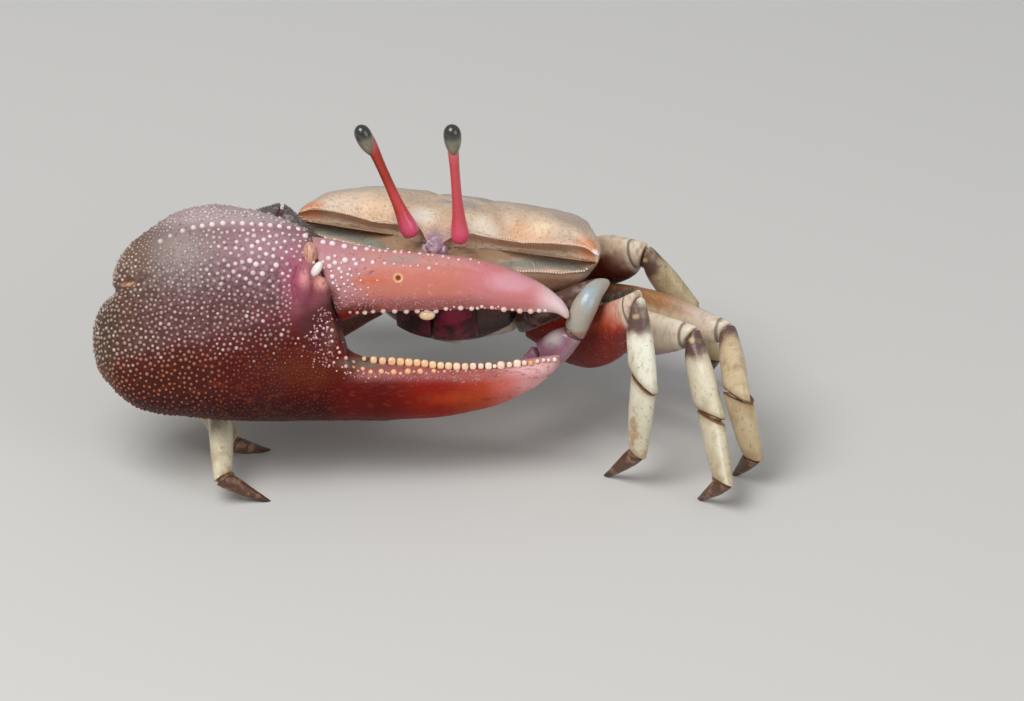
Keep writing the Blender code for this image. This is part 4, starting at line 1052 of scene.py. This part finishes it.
for a, b, half in UPPER_TEETH:
    place = seen_at(a, b, 1.5)
    hit = hand_tree.find_nearest(place)[0]
    if (place - hit).length > 0.25 * MM:
        place = hit + (place - hit).normalized() * 0.25 * MM
    edge_teeth.append((place, -sight, (half * 1.06, half * 1.16), half * 0.9))
tooth = Paint("cream_tooth", claw_origin, claw_axes)
tooth.coat((0.90, 0.60, 0.32))
tooth.band((0.92, 0.80, 0.68), "X", -3.0, 6.0, 0.9)
tooth.spot((0.86, 0.38, 0.08), (8.4, -2.5, 1.2), (0.5, 0.5, 2.0), 0.9)
tooth.band((0.80, 0.34, 0.14), "tone", 0.7, 0.1, 0.25)
tooth.specks((0.55, 0.16, 0.04), 0.4, 3, 0.58, 0.7, 0.35)
# Painted shade: each tooth darkens towards its foot and rim.
tooth.band((0.40, 0.14, 0.05), "crown", 0.5, -0.1, 0.5)
tooth_skin = tooth.done(0.26, 0.06, coat=0.4, coat_roughness=0.1)
dress(many("fixed_finger_teeth", edge_teeth, 16, 12, 0.72), tooth_skin, "great_claw")
peach = Paint("peach_tooth", claw_origin, claw_axes)
peach.coat((0.86, 0.44, 0.26))
peach.band((0.72, 0.40, 0.40), "X", -9.0, -10.5, 0.9)
peach.band((0.60, 0.26, 0.28), "X", -1.5, 1.0, 0.8)
# Painted shade: each bead darkens towards its foot.
peach.band((0.40, 0.10, 0.08), "crown", 0.5, -0.1, 0.5)
row_beads = beads_at(hand_tree, [(a, b, half * 1.1) for a, b, half in SECOND_ROW], 0.0)
row_beads += beads_at(hand_tree, CORNER_BEADS, 0.1)
dress(many("fixed_finger_second_row", row_beads, 10, 7), peach.done(0.28, 0.06, coat=0.3), "great_claw")
fine = []
for i in range(170):
    a = random.uniform(-10.5, 5.5)
    fine.append((a, -4.25 - 0.01 * a + random.gauss(0.0, 0.28), random.uniform(0.06, 0.12)))
    if i < 90:
        fine.append((random.uniform(-13.6, -11.5), random.uniform(-3.4, 3.0), random.uniform(0.07, 0.13)))
granule = Paint("claw_fine_granules", claw_origin, claw_look)
granule.coat((0.42, 0.17, 0.17))
granule.band((0.60, 0.30, 0.30), "tone", 0.5, 1.0, 0.8)
granule_skin = granule.done(0.34, 0.06, coat=0.1, specular=0.3)
dress(many("fixed_finger_granules", beads_at(hand_tree, fine, 0.3), 8, 5), granule_skin, "great_claw")

# GREAT CLAW, MOVING FINGER
# The moving finger is a flattened curved blade, warty and white-pink at its root, coral along its
# middle, lilac and then white towards its hooked point, with blunt teeth along its lower edge.
MOVING_FINGER = ((-15.6, 1.6, 10.3, 2.6, 0.0), (-12.4, 1.2, 9.9, 3.1, 0.0), (-10.6, 1.5, 9.5, 3.2, 0.0),
                 (-9.0, 2.1, 9.1, 3.15, 0.0), (-6.5, 2.4, 8.8, 3.0, 0.0), (-3.6, 2.5, 8.5, 2.9, 0.0),
                 (0.0, 2.65, 8.2, 2.7, 0.0), (3.2, 2.75, 7.75, 2.5, 0.0), (6.4, 2.5, 6.8, 2.2, 0.0),
                 (9.3, 2.35, 5.4, 1.7, 0.0), (10.8, 2.3, 4.4, 1.3, 0.0), (11.6, 2.0, 3.7, 1.0, 0.0),
                 (12.1, 1.65, 3.05, 0.7, 0.0), (12.4, 1.8, 2.5, 0.3, 0.0))
JOINT_GAP = 0.35
dactyl = claw_tube("moving_finger", MOVING_FINGER, 52, 40, 0.92)
cut_away(dactyl, on_claw(*HAND_END[0], 0) + end_normal * JOINT_GAP * MM, -end_normal)
regrid(dactyl, 0.15, 6)
FINGER_GROOVE = ((-8.0, 7.55), (-5.0, 7.75), (-2.6, 7.5), (1.0, 7.1), (5.0, 6.2))
FINGER_PIT = (-4.96, 5.83)


def finger_relief(point, way):
    """Height of the finger's long groove, its pit and its swells at a point."""
    a, b, c = seen_place(point)
    spot = Vector((a, b, c))
    height = 0.06 * noise.noise(spot * 0.5) + 0.02 * noise.noise(spot * 1.6)
    if c > 0:
        height -= 0.20 * furrow(a, b, FINGER_GROOVE, 0.4) * within(a, -9.0, -6.0) * within(-a, -6.0, -1.0)
        height -= 0.30 * math.exp(-(math.hypot(a - FINGER_PIT[0], b - FINGER_PIT[1]) / 0.26) ** 2)
        height += 0.07 * math.exp(-((math.hypot(a - FINGER_PIT[0], b - FINGER_PIT[1]) - 0.42) / 0.14) ** 2)
    return height


push_out(dactyl, finger_relief)
blade = Paint("moving_finger_shell", claw_origin, claw_look)
a, b = blade.axis("X"), blade.axis("Y")
blade.coat((0.58, 0.185, 0.135))
blade.band((0.58, 0.27, 0.25), b, 6.2, 7.6, 0.85)
blade.spot((0.40, 0.28, 0.25), (-4.6, 7.75, 2), (2.6, 0.5, 6), 0.75, 0.5)
blade.band((0.50, 0.235, 0.25), a, -7.0, -10.5, 0.9)
blade.band((0.60, 0.20, 0.21), a, 0.0, 4.0, 0.85)
blade.coat((0.42, 0.13, 0.13), blade.both(blade.between(b, 4.3, 3.3), blade.between(a, 5.0, 0.0)), 0.75)
blade.spot((0.70, 0.34, 0.40), (6.6, 5.4, 1), (3.6, 1.5, 6), 0.75, 0.3)
blade.spot((0.66, 0.15, 0.05), (-8.0, 5.5, 2), (2.6, 0.45, 6), 0.8, 0.4)
blade.band((0.86, 0.62, 0.64), a, 8.2, 11.2, 0.95)
blade.coat((0.85, 0.62, 0.60), blade.both(blade.between(b, 3.0, 2.3), blade.between(a, 5.0, 9.0)), 0.8)
blade.spot((0.17, 0.02, 0.010), (-9.0, 2.2, 2), (3.6, 1.3, 6), 0.9, 0.5)
blade.spot((0.22, 0.08, 0.06), (-11.6, 3.3, 2), (1.3, 2.4, 6), 0.8, 0.5)
blade.coat((0.30, 0.02, 0.008), blade.both(blade.between(b, 2.5, 2.0), blade.between(a, 6.0, 4.0)), 0.9)
blade.spot((0.85, 0.48, 0.24), (*FINGER_PIT, 3), (0.62, 0.62, 3), 0.85, 0.0, 0.6)
blade.spot((0.20, 0.035, 0.012), (*FINGER_PIT, 3), (0.36, 0.36, 3), 0.95, 0.0, 0.5)
blade.specks((0.80, 0.52, 0.50), 0.5, 3, 0.60, 0.72, 0.22)
blade.raise_by(blade.grain(0.35, 4), 0.05)
blade_skin = blade.done(0.36, 0.08, coat=0.1, coat_roughness=0.14, specular=0.25)
dress(dactyl, blade_skin, "great_finger", "great_claw_finger")
finger_tree = tree_of(dactyl)

FINGER_BEADS = on_view((
    (125, 95, 36), (175, 103, 40), (240, 118, 38), (300, 128, 32), (362, 132, 30), (398, 138, 20),
    (432, 140, 22), (465, 143, 22), (515, 148, 30), (548, 150, 22), (592, 150, 22), (650, 157, 26),
    (695, 163, 20), (718, 165, 18), (775, 172, 22), (805, 180, 18), (860, 190, 22), (925, 187, 20),
    (970, 205, 16), (190, 168, 22), (155, 182, 34), (245, 192, 38), (190, 205, 30), (293, 188, 26),
    (343, 190, 26), (305, 212, 30), (160, 225, 32), (213, 238, 28), (395, 203, 28), (460, 208, 24),
    (510, 212, 18), (560, 222, 14), (600, 222, 16), (640, 220, 16), (700, 235, 28), (740, 212, 16),
    (125, 200, 18), (130, 232, 16), (225, 205, 14), (175, 280, 30), (225, 285, 18), (260, 268, 20),
    (225, 255, 18), (270, 240, 18), (280, 275, 16), (320, 265, 14), (180, 315, 20), (240, 320, 18),
    (285, 322, 16), (330, 300, 14), (210, 350, 20), (245, 360, 18), (250, 390, 16), (285, 380, 16),
    (365, 380, 16), (330, 350, 14), (300, 350, 14), (420, 300, 12), (200, 330, 14), (215, 395, 18),
    (345, 400, 14), (400, 410, 14), (370, 340, 12), (170, 250, 14), (195, 300, 12), (260, 300, 14),
    (265, 335, 12), (225, 420, 14), (255, 430, 12), (290, 415, 12), (320, 430, 12)))
FINGER_TEETH = on_view((
    (270, 470, 20), (308, 470, 22), (350, 468, 30), (395, 463, 28), (450, 460, 32), (512, 460, 32),
    (575, 460, 34), (635, 458, 34), (685, 460, 34), (735, 458, 34), (790, 448, 28), (870, 442, 34),
    (930, 445, 32), (962, 465, 24), (985, 437, 22), (1040, 442, 26), (1105, 462, 36), (1190, 485, 36),
    (1250, 490, 36), (1295, 482, 28), (1332, 487, 20), (1000, 460, 14), (1060, 460, 14), (1075, 440, 14),
    (1150, 470, 20), (905, 447, 14), (815, 455, 14), (660, 468, 10), (835, 440, 14)))
fine = []
for i in range(260):
    a = random.uniform(-11.4, 3.5)
    fine.append((a, 3.3 + 0.02 * a + random.gauss(0.0, 0.40), random.uniform(0.06, 0.12)))
for i in range(60):
    a = random.uniform(-12.0, -7.4)
    fine.append((a, random.uniform(2.8, 7.0), random.uniform(0.08, 0.14)))
for i in range(70):
    a = random.uniform(-11.0, 4.5)
    fine.append((a, 8.2 - 0.005 * (a + 5) ** 2 + random.uniform(-0.9, 0.3), random.uniform(0.06, 0.10)))
fine_spots = beads_at(finger_tree, fine, 0.3)
dress(many("moving_finger_granules", fine_spots, 8, 5), granule_skin, "great_finger")
spots = beads_at(finger_tree, FINGER_BEADS, 0.1)


def back_gap(point):
    """The finger's hidden inner side bears a few small warts near its root."""
    a, b, c = seen_place(point)
    return 0.9 if c < -0.5 and -13.0 < a < -4.0 and b > 3.5 else None


spots += [(point, normal, 0.17, 0.17) for point, normal in scatter(dactyl, 6000, back_gap)]
pale_wart = Paint("finger_warts", claw_origin, claw_look)
pale_wart.coat((0.88, 0.72, 0.74))
pale_wart.band((0.80, 0.46, 0.42), "X", -8.5, -5.0, 0.7)
pale_wart.band((0.62, 0.26, 0.26), "Y", 5.2, 3.8, 0.8)
pale_wart.band((0.74, 0.50, 0.56), "tone", 0.6, 0.0, 0.35)
# Painted shade: each wart darkens towards its foot.
pale_wart.band((0.40, 0.14, 0.15), "crown", 0.6, 0.0, 0.5)
wart_gloss = pale_wart.done(0.30, 0.06, coat=0.2, coat_roughness=0.12, specular=0.35)
dress(many("moving_finger_warts", spots, 10, 7), wart_gloss, "great_finger")

bite = beads_at(finger_tree, FINGER_TEETH, -0.25)
bite.append((seen_at(-2.05, 2.05, 0.9), -sight, (0.85, 0.55), 0.45))
pink_tooth = Paint("pink_tooth", claw_origin, claw_axes)
pink_tooth.coat((0.84, 0.52, 0.44))
pink_tooth.band((0.90, 0.74, 0.68), "tone", 0.2, 0.9, 0.7)
pink_tooth.band((0.55, 0.10, 0.06), "X", -8.5, -10.0, 0.6)
pink_tooth.spot((0.82, 0.56, 0.32), (-2.05, 2.0, 0.9), (0.95, 0.7, 0.9), 0.9, 0.0, 0.7)
# Painted shade: each tooth darkens towards its foot and rim.
pink_tooth.band((0.40, 0.10, 0.08), "crown", 0.4, -0.2, 0.5)
dress(many("moving_finger_teeth", bite, 14, 9), pink_tooth.done(0.26, 0.06, coat=0.4), "great_finger")

# GREAT CLAW, FINGER JOINT
# Folded tan skin fills the joint between hand and moving finger, and the white knob of the finger's
# root shows where it bears on the hand.
end_up = outward.cross(end_normal)
joint = ball(on_claw(-12.7, 5.6, -0.1), (0.9, 4.5, 2.75), (end_normal, end_up, outward), "finger_joint_skin")
union(joint, [ball(on_claw(-13.95, 8.6, 2.6), (0.75, 1.35, 0.9), claw_axes)])
regrid(joint, 0.15, 4)
skin = Paint("tan_joint_skin", claw_origin, claw_axes)
skin.coat((0.66, 0.34, 0.24))
skin.specks((0.36, 0.13, 0.08), 0.7, 3, 0.48, 0.62, 0.8, (2.5, 0.6, 1))
skin.band((0.10, 0.03, 0.02), "Y", 4.5, 3.0, 0.9)
skin.raise_by(skin.grain(0.5, 3, (3.0, 0.5, 1)), 0.12)
dress(joint, skin.done(0.3, 0.08, coat=0.3), "great_claw")
knob_up = (face_up * 0.85 + toward * 0.52).normalized()
knob = ball(seen_at(-13.25, 6.7, 3.5), (0.46, 0.95, 0.55), (knob_up.cross(outward), knob_up, outward),
            "finger_joint_knob")
knob_look = Paint("white_joint_knob", claw_origin, claw_axes)
knob_look.coat((0.90, 0.84, 0.78))
knob_look.band((0.80, 0.46, 0.30), "Y", 6.6, 6.0, 0.7)
dress(knob, knob_look.done(0.2, 0.05, coat=0.5), "great_finger")

# GREAT CLAW, ARM
# Three short segments carry the hand: the base at the body, the arm, and the rounded wrist. They are
# dark grey and finely granular above, with pink skin showing in the joints.
arm = Paint("grey_granular_arm", brow)
arm.coat((0.13, 0.10, 0.095))
arm.specks((0.34, 0.29, 0.28), 0.8, 4, 0.50, 0.64, 0.6)
arm.specks((0.07, 0.05, 0.045), 0.3, 2, 0.55, 0.66, 0.7)
arm.band((0.14, 0.018, 0.012), "Z", -1.5, -5.0, 0.9)
arm.raise_by(arm.between(arm.pebbles(0.5), 0.5, 0.0), 0.10).raise_by(arm.grain(0.3, 3), 0.06)
arm_skin = arm.done(0.40, 0.1, coat=0.12, specular=0.3)
SHARP_RIM = math.radians(48)
GRIT_LEVEL = 0.017
COARSE_WAVE = 800
FINE_WAVE = 2200


def segment(node, name, rim, levels=2, roughen=0.05):
    """A shell segment that starts as the CAD node, with rounded rims and a faint natural unevenness."""
    piece = from_node(node, name)
    crease = piece.data.attributes.new("crease_edge", "FLOAT", "EDGE")
    faces_of = {}
    for polygon in piece.data.polygons:
        for key in polygon.edge_keys:
            faces_of.setdefault(key, []).append(polygon.normal)
    for edge in piece.data.edges:
        normals = faces_of[edge.key]
        if len(normals) == 2 and normals[0].angle(normals[1], 0.0) > SHARP_RIM:
            crease.data[edge.index].value = rim
    smooth_cage(piece, levels)
    push_out(piece, lambda point, way: roughen * (noise.noise((point - brow) * COARSE_WAVE)
                                                  + 0.5 * noise.noise((point - brow) * FINE_WAVE)))
    return piece


for part in ("base", "arm", "wrist"):
    piece = segment("great_claw_" + part, "claw_" + part + "_shell", 0.25, 3)
    dress(piece, arm_skin, "great_arm", "great_claw_" + part)
    grit = [(point, normal, random.uniform(0.06, 0.12), 0.10)
            for point, normal in scatter(piece, 5000, lambda spot: 0.30 if spot.z > GRIT_LEVEL else 0.6)]
    dress(many("claw_" + part + "_grit", grit, 6, 4), arm_skin, "great_arm")

JOINT_REACH = 0.9


def meeting(first, second):
    """The middle, the three ways and the half widths of the joint between two CAD nodes."""
    one, two = ([v.co.copy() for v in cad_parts[node].data.vertices] for node in (first, second))
    rim = [p for p in one if min((p - q).length for q in two) < JOINT_REACH * MM]
    rim += [q for q in two if min((p - q).length for p in one) < JOINT_REACH * MM]
    middle = sum(rim, Vector()) / len(rim)
    spread = [p - middle for p in rim]
    ways = [Vector(way) for way in np.linalg.svd(np.array(spread))[2]]
    return middle, ways, [max(abs(p.dot(way)) for p in spread) / MM for way in ways]


def joint_skins(name, pairs, material, slot, fill=0.70, depth=0.50):
    """Soft skin that fills the joints between pairs of CAD nodes, as one piece."""
    bpy.ops.object.select_all(action="DESELECT")
    balls = []
    for first, second in pairs:
        middle, ways, halves = meeting(first, second)
        balls.append(ball(middle, (halves[0] * fill, halves[1] * fill, depth), ways, name))
    for piece in balls:
        piece.select_set(True)
    bpy.context.view_layer.objects.active = balls[0]
    bpy.ops.object.join()
    dress(bpy.context.object, material, slot)


pink_skin = Paint("pink_joint_skin", brow)
pink_skin.coat((0.42, 0.17, 0.16))
pink_skin.specks((0.16, 0.03, 0.03), 0.6, 3, 0.5, 0.62, 0.8)
arm_pairs = [("great_claw_base", "great_claw_arm"), ("great_claw_arm", "great_claw_wrist"),
             ("great_claw_wrist", "great_claw_palm")]
joint_skins("claw_arm_joints", arm_pairs, pink_skin.done(0.35, 0.08, coat=0.3), "great_arm", 0.74, 0.6)

# SMALL CLAW
# The feeding claw is slim and smooth, grey-beige with a blue sheen at its wrist and lilac on its hand,
# with two thin fingers that end in pale spoon tips. Its base and arm are dark brown as painted shadow,
# for the shade they lie in beside the body.
# Painted shadow: the base, the arm and their joint skin are coloured dark brown for the shade beside the
# body.
shaded_small = Paint("small_claw_base_painted_shadow", brow)
shaded_small.coat((0.10, 0.045, 0.03))
shaded_small.specks((0.28, 0.17, 0.12), 1.0, 4, 0.5, 0.64, 0.6)
shaded_small_skin = shaded_small.done(0.34, 0.08, coat=0.2)
small = Paint("small_claw_shell", brow)
small.coat((0.33, 0.16, 0.21))
small.specks((0.22, 0.09, 0.13), 1.4, 4, 0.50, 0.64, 0.6, (1, 1, 0.5))
small.spot((0.60, 0.54, 0.52), (12.2, -6.4, -6.9), (2.3, 2.8, 1.5), 0.9, 0.5, 0.3)
small.band((0.42, 0.38, 0.31), "Z", -6.4, -5.6, 0.95)
small.specks((0.30, 0.25, 0.18), 0.9, 4, 0.54, 0.66, 0.5)
small.spot((0.34, 0.43, 0.47), (16.4, -5.2, -1.9), (1.5, 3.0, 2.3), 0.9, 0.4, 0.1)
small.spot((0.30, 0.46, 0.44), (16.6, -5.2, -1.2), (0.7, 2.4, 1.0), 0.6, 0.5, 0.1)
small.spot((0.40, 0.17, 0.07), (15.0, -5.4, -6.1), (2.4, 2.4, 0.5), 0.7, 0.6, 0.3)
small.band((0.60, 0.42, 0.38), "Z", -9.4, -10.8, 0.8)
small.raise_by(small.grain(0.5, 4), 0.05)
small_skin = small.done(0.26, 0.08, coat=0.4, coat_roughness=0.12)
for part in ("base", "arm", "wrist", "palm", "finger"):
    piece = segment("small_claw_" + part, "feeding_claw_" + part, 0.3, 3, 0.03)
    skin = shaded_small_skin if part in ("base", "arm") else small_skin
    dress(piece, skin, "small_claw", "small_claw_" + part)
small_pairs = [("small_claw_base", "small_claw_arm"), ("small_claw_arm", "small_claw_wrist"),
               ("small_claw_wrist", "small_claw_palm")]
joint_skins("feeding_claw_joints", small_pairs, shaded_small_skin, "small_claw")

# WALKING LEGS
# Each leg is four hard tubes: a flattened thigh mottled red, tan and cream, then an ivory wrist and shin
# with brown flecks, and a dark horny toe. Soft brown skin shows at the joints between them.
HIPS = ((7.5, 2.9, -10.6), (7.5, 6.1, -10.6), (7.5, 9.3, -10.4), (7.5, 12.4, -10.0))
# Each leg's thigh at the body, in the middle, along the top, below and at the knee; and its shank.
RIGHT_TONES = ((0.10, 0.012, 0.008), (0.34, 0.14, 0.07), (0.52, 0.32, 0.19), (0.10, 0.02, 0.01),
               (0.70, 0.55, 0.42), (0.74, 0.66, 0.47))
LEG_TONES = {
    "left_1": ((0.14, 0.006, 0.003), (0.50, 0.060, 0.020), (0.58, 0.17, 0.08), (0.17, 0.006, 0.003),
               (0.84, 0.56, 0.42), (0.88, 0.84, 0.68)),
    "left_2": ((0.20, 0.03, 0.02), (0.62, 0.50, 0.34), (0.70, 0.54, 0.36), (0.34, 0.20, 0.22),
               (0.80, 0.72, 0.56), (0.72, 0.65, 0.48)),
    "left_3": ((0.12, 0.022, 0.010), (0.60, 0.44, 0.28), (0.36, 0.15, 0.05), (0.56, 0.43, 0.33),
               (0.74, 0.62, 0.52), (0.64, 0.50, 0.31)),
    "left_4": ((0.06, 0.005, 0.003), (0.17, 0.030, 0.012), (0.70, 0.53, 0.38), (0.06, 0.003, 0.002),
               (0.74, 0.58, 0.42), (0.62, 0.51, 0.31))}
hinge_brown = Paint("brown_leg_joints", brow)
hinge_brown.coat((0.15, 0.065, 0.03))
hinge_brown.specks((0.30, 0.15, 0.07), 0.5, 3, 0.5, 0.62, 0.7)
hinge_skin = hinge_brown.done(0.35, 0.08, coat=0.2)
toe = Paint("dark_toe", brow)
toe.coat((0.10, 0.036, 0.014))
toe.specks((0.30, 0.17, 0.09), 0.9, 3, 0.52, 0.64, 0.7)
toe.band((0.03, 0.012, 0.008), "Z", -19.8, -20.9, 0.8)
toe.raise_by(toe.grain(0.3, 3), 0.04)
toe_skin = toe.done(0.36, 0.08, coat=0.15)


def thigh_look(name, hip, knee, body, middle, top, low, knee_tone):
    """The mottled skin of a thigh, given where it starts and ends and its tones."""
    way = (knee - hip).normalized()
    level = way.cross(Vector((0, 0, 1))).normalized()
    length = (knee - hip).length / MM
    thigh = Paint("mottled_thigh_" + name, hip, (way, level.cross(way), level))
    run, rise = thigh.axis("X"), thigh.axis("Y")
    rise = thigh.math("ADD", rise, thigh.both(thigh.grain(1.4, 3), 1.6))
    thigh.coat(middle)
    thigh.band(top, rise, 1.6, 2.6, 0.9)
    thigh.band(low, rise, 0.2, -1.4, 0.9)
    thigh.band(body, run, 0.55 * length, 0.30 * length, 0.9)
    bloom = thigh.both(thigh.between(run, 0.62 * length, 0.98 * length), thigh.between(rise, -0.8, 1.8))
    thigh.coat(knee_tone, bloom, 0.9)
    thigh.specks(tuple(0.45 * c for c in middle), 0.7, 5, 0.50, 0.62, 0.28, (1.0, 0.5, 0.5))
    paler = tuple(min(0.9, 0.6 * c + 0.4 * k) for c, k in zip(middle, knee_tone))
    thigh.specks(paler, 0.45, 3, 0.56, 0.70, 0.22)
    thigh.band((0.78, 0.68, 0.54), run, length - 1.9, length - 1.2, 0.7)
    line = thigh.both(thigh.between(run, length - 1.15, length - 0.95),
                      thigh.between(run, length - 0.55, length - 0.8))
    thigh.coat((0.16, 0.09, 0.06), line, 0.8)
    smear = thigh.both(thigh.between(run, length - 2.8, length - 0.4),
                       thigh.between(thigh.grain(0.9, 4), 0.50, 0.64))
    thigh.coat((0.34, 0.19, 0.10), smear, 0.55)
    thigh.raise_by(thigh.grain(0.4, 4), 0.06)
    return thigh.done(0.36, 0.08, coat=0.12, specular=0.3)


def shank_look(name, knee, wrist, wrist_way, ankle, tone):
    """The ivory skin of a leg's wrist and shin, darker towards the bottom and flecked, and brown at its
    joints.
    """
    shank = Paint("ivory_shank_" + name, knee)
    shank.coat(tone)
    darker_tone = tuple(c * share for c, share in zip(tone, (0.62, 0.56, 0.46)))
    # Darker towards the bottom: the ivory tone falls to a darker tone lower down, and specks of that tone
    # mottle it.
    shank.band(darker_tone, "Z", -2.0, -13.0, 0.75)
    shank.specks(darker_tone, 2.2, 5, 0.46, 0.66, 0.75, (1, 1, 0.5))
    shank.specks((0.34, 0.20, 0.10), 0.55, 3, 0.62, 0.70, 0.5, (1, 1, 0.4))
    shank.specks((0.18, 0.09, 0.05), 0.3, 2, 0.64, 0.72, 0.5, (1, 1, 0.5))
    shank.spot((0.30, 0.17, 0.10), (0, 0, -0.3), (3.4, 3.4, 2.9), 0.7, 1.2, 0.4)
    shank.spot((0.105, 0.05, 0.045), (0, 0, -0.2), (2.6, 2.6, 2.2), 0.92, 0.9, 0.62)
    shank.specks((0.40, 0.28, 0.20), 0.8, 4, 0.55, 0.68, 0.25)
    shank.spot((0.66, 0.48, 0.24), (0.3, -1.1, 0.4), (0.5, 1.0, 0.40), 0.8, 1.0, 0.2)
    offset = shank.vector("SUBTRACT", shank.place, tuple((wrist - knee) / MM))
    depth = shank.math("ABSOLUTE", shank.vector("DOT_PRODUCT", offset, wrist_way))
    shank.band((0.34, 0.19, 0.09), depth, 0.95, 0.25, 0.5)
    shank.band((0.16, 0.075, 0.03), depth, 0.34, 0.22, 0.9)
    outer = tuple((wrist + Vector((0.9, -0.6, -0.5)) * MM - knee) / MM)
    shank.spot((0.62, 0.28, 0.05), outer, (0.9, 0.9, 0.8), 0.3 if name.endswith("1") else 0.6, 0.9, 0.1)
    foot = tuple((ankle - knee) / MM)
    shank.spot((0.32, 0.18, 0.09), foot, (1.9, 1.9, 1.5), 0.7, 1.2, 0.3)
    if name == "left_1":
        blotch = tuple((at(22.5, -10.2, -14.0) - knee) / MM)
        shank.spot((0.40, 0.24, 0.12), blotch, (1.1, 1.4, 2.8), 0.85, 1.8, 0.1)
    shank.raise_by(shank.grain(0.7, 4, (1, 1, 0.6)), 0.05)
    shank.raise_by(shank.grain(0.25, 3, (0.6, 0.6, 1.6)), 0.03)
    return shank.done(0.32, 0.08, coat=0.2, specular=0.4)


thighs = {}
for side, sign in (("left", 1), ("right", -1)):
    for number, (x, y, z) in enumerate(HIPS, 1):
        name = side + "_" + str(number)
        leg = "leg_" + name + "_"
        *thigh_tones, shank_tone = LEG_TONES.get(name, RIGHT_TONES)
        knee = meeting(leg + "thigh", leg + "wrist")[0]
        wrist, wrist_ways = meeting(leg + "wrist", leg + "shin")[:2]
        ankle = meeting(leg + "shin", leg + "toe")[0]
        thigh_skin = thigh_look(name, at(sign * x, y, z), knee, *thigh_tones)
        thighs[name] = segment(leg + "thigh", leg + "thigh_shell", 0.4, 3, 0.05)
        dress(thighs[name], thigh_skin, "thigh", leg + "thigh")
        shank_skin = shank_look(name, knee, wrist, wrist_ways[2], ankle, shank_tone)
        for part in ("wrist", "shin"):
            dress(segment(leg + part, leg + part + "_shell", 0.5, 3, 0.04), shank_skin, "shank", leg + part)
        dress(segment(leg + "toe", leg + "toe_shell", 0.4, 3, 0.04), toe_skin, "toe", leg + "toe")
        pairs = [(leg + "thigh", leg + "wrist"), (leg + "wrist", leg + "shin"), (leg + "shin", leg + "toe")]
        joint_skins(leg + "joints", pairs, hinge_skin, "shank")

# A dark fringe of bristles stands along the upper edge of the front thigh, close to the body.
FRINGE_ALONG = Vector((0.961, 0.276, 0))
FRINGE_UP = Vector((-0.138, 0.481, 0.866))
edge_points = [v.co.copy() for v in thighs["left_1"].data.vertices]
bristles = []
for i in range(120):
    across = random.uniform(14.8, 18.6)
    near = [p for p in edge_points if abs((p - brow).dot(FRINGE_ALONG) / MM - across) < 0.35]
    root = max(near, key=lambda p: p.dot(FRINGE_UP))
    lean = (FRINGE_UP + Vector((random.uniform(-0.4, 0.4), 0, 0))).normalized()
    bristles.append((root + lean * 0.22 * MM, lean, 0.035, random.uniform(0.3, 0.5)))
hair = Paint("dark_bristles", brow)
hair.coat((0.045, 0.035, 0.03))
hair.band((0.20, 0.17, 0.14), "tone", 0.6, 1.0, 0.7)
dress(many("front_thigh_bristles", bristles, 5, 5), hair.done(0.5, 0.1), "thigh")

# FLOOR, LIGHT AND CAMERA
# A plain pale floor, one large soft light above and in front, a weak fill, and a pale sky.
bpy.ops.object.select_all(action="DESELECT")
bpy.ops.mesh.primitive_plane_add(size=3, location=(0, 0, 0))
floor = bpy.context.object
floor.name = "floor"
floor_look = bpy.data.materials.new("pale_floor")
floor_look.use_nodes = True
floor_look.node_tree.nodes["Principled BSDF"].inputs["Base Color"].default_value = (0.62, 0.60, 0.57, 1)
floor_look.node_tree.nodes["Principled BSDF"].inputs["Roughness"].default_value = 0.8
floor.data.materials.append(floor_look)

sky = bpy.data.worlds.new("sky")
bpy.context.scene.world = sky
sky.use_nodes = True
sky.node_tree.nodes["Background"].inputs["Color"].default_value = (0.90, 0.95, 1.0, 1)
sky.node_tree.nodes["Background"].inputs["Strength"].default_value = 0.40


def soft_light(name, place, size, power):
    """A square lamp that faces the crab."""
    lamp = bpy.data.objects.new(name, bpy.data.lights.new(name, "AREA"))
    lamp.data.size = size
    lamp.data.energy = power
    lamp.location = place
    lamp.rotation_mode = "QUATERNION"
    lamp.rotation_quaternion = (Vector(place) - Vector((0, 0, 0.015))).to_track_quat("Z", "Y")
    bpy.context.scene.collection.objects.link(lamp)


soft_light("key", (-0.12, -0.22, 0.42), 0.30, 1.75)
soft_light("fill", (0.40, -0.20, 0.22), 0.30, 0.5)

CAMERA_TURN = math.radians(16.0)
CAMERA_RISE = math.radians(30.0)
CAMERA_DISTANCE = 1.5
AIM_RIGHT = 6.59
AIM_DOWN = 11.96
PICTURE_WIDTH = 1024
PIXELS_PER_MM = 9.785
SENSOR_WIDTH = 36.0
back = Vector((math.sin(CAMERA_TURN) * math.cos(CAMERA_RISE), -math.cos(CAMERA_TURN) * math.cos(CAMERA_RISE),
               math.sin(CAMERA_RISE)))
right = Vector((math.cos(CAMERA_TURN), math.sin(CAMERA_TURN), 0))
aim = brow + right * AIM_RIGHT * MM - back.cross(right) * AIM_DOWN * MM
camera = bpy.data.objects.new("camera", bpy.data.cameras.new("camera"))
camera.data.sensor_width = SENSOR_WIDTH
camera.data.lens = SENSOR_WIDTH * CAMERA_DISTANCE / (PICTURE_WIDTH / PIXELS_PER_MM * MM)
camera.data.clip_start = 0.05
camera.data.clip_end = 20.0
camera.location = aim + back * CAMERA_DISTANCE
camera.rotation_mode = "QUATERNION"
camera.rotation_quaternion = back.to_track_quat("Z", "Y")
bpy.context.scene.collection.objects.link(camera)
bpy.context.scene.camera = camera
bpy.context.scene.view_settings.view_transform = "Standard"
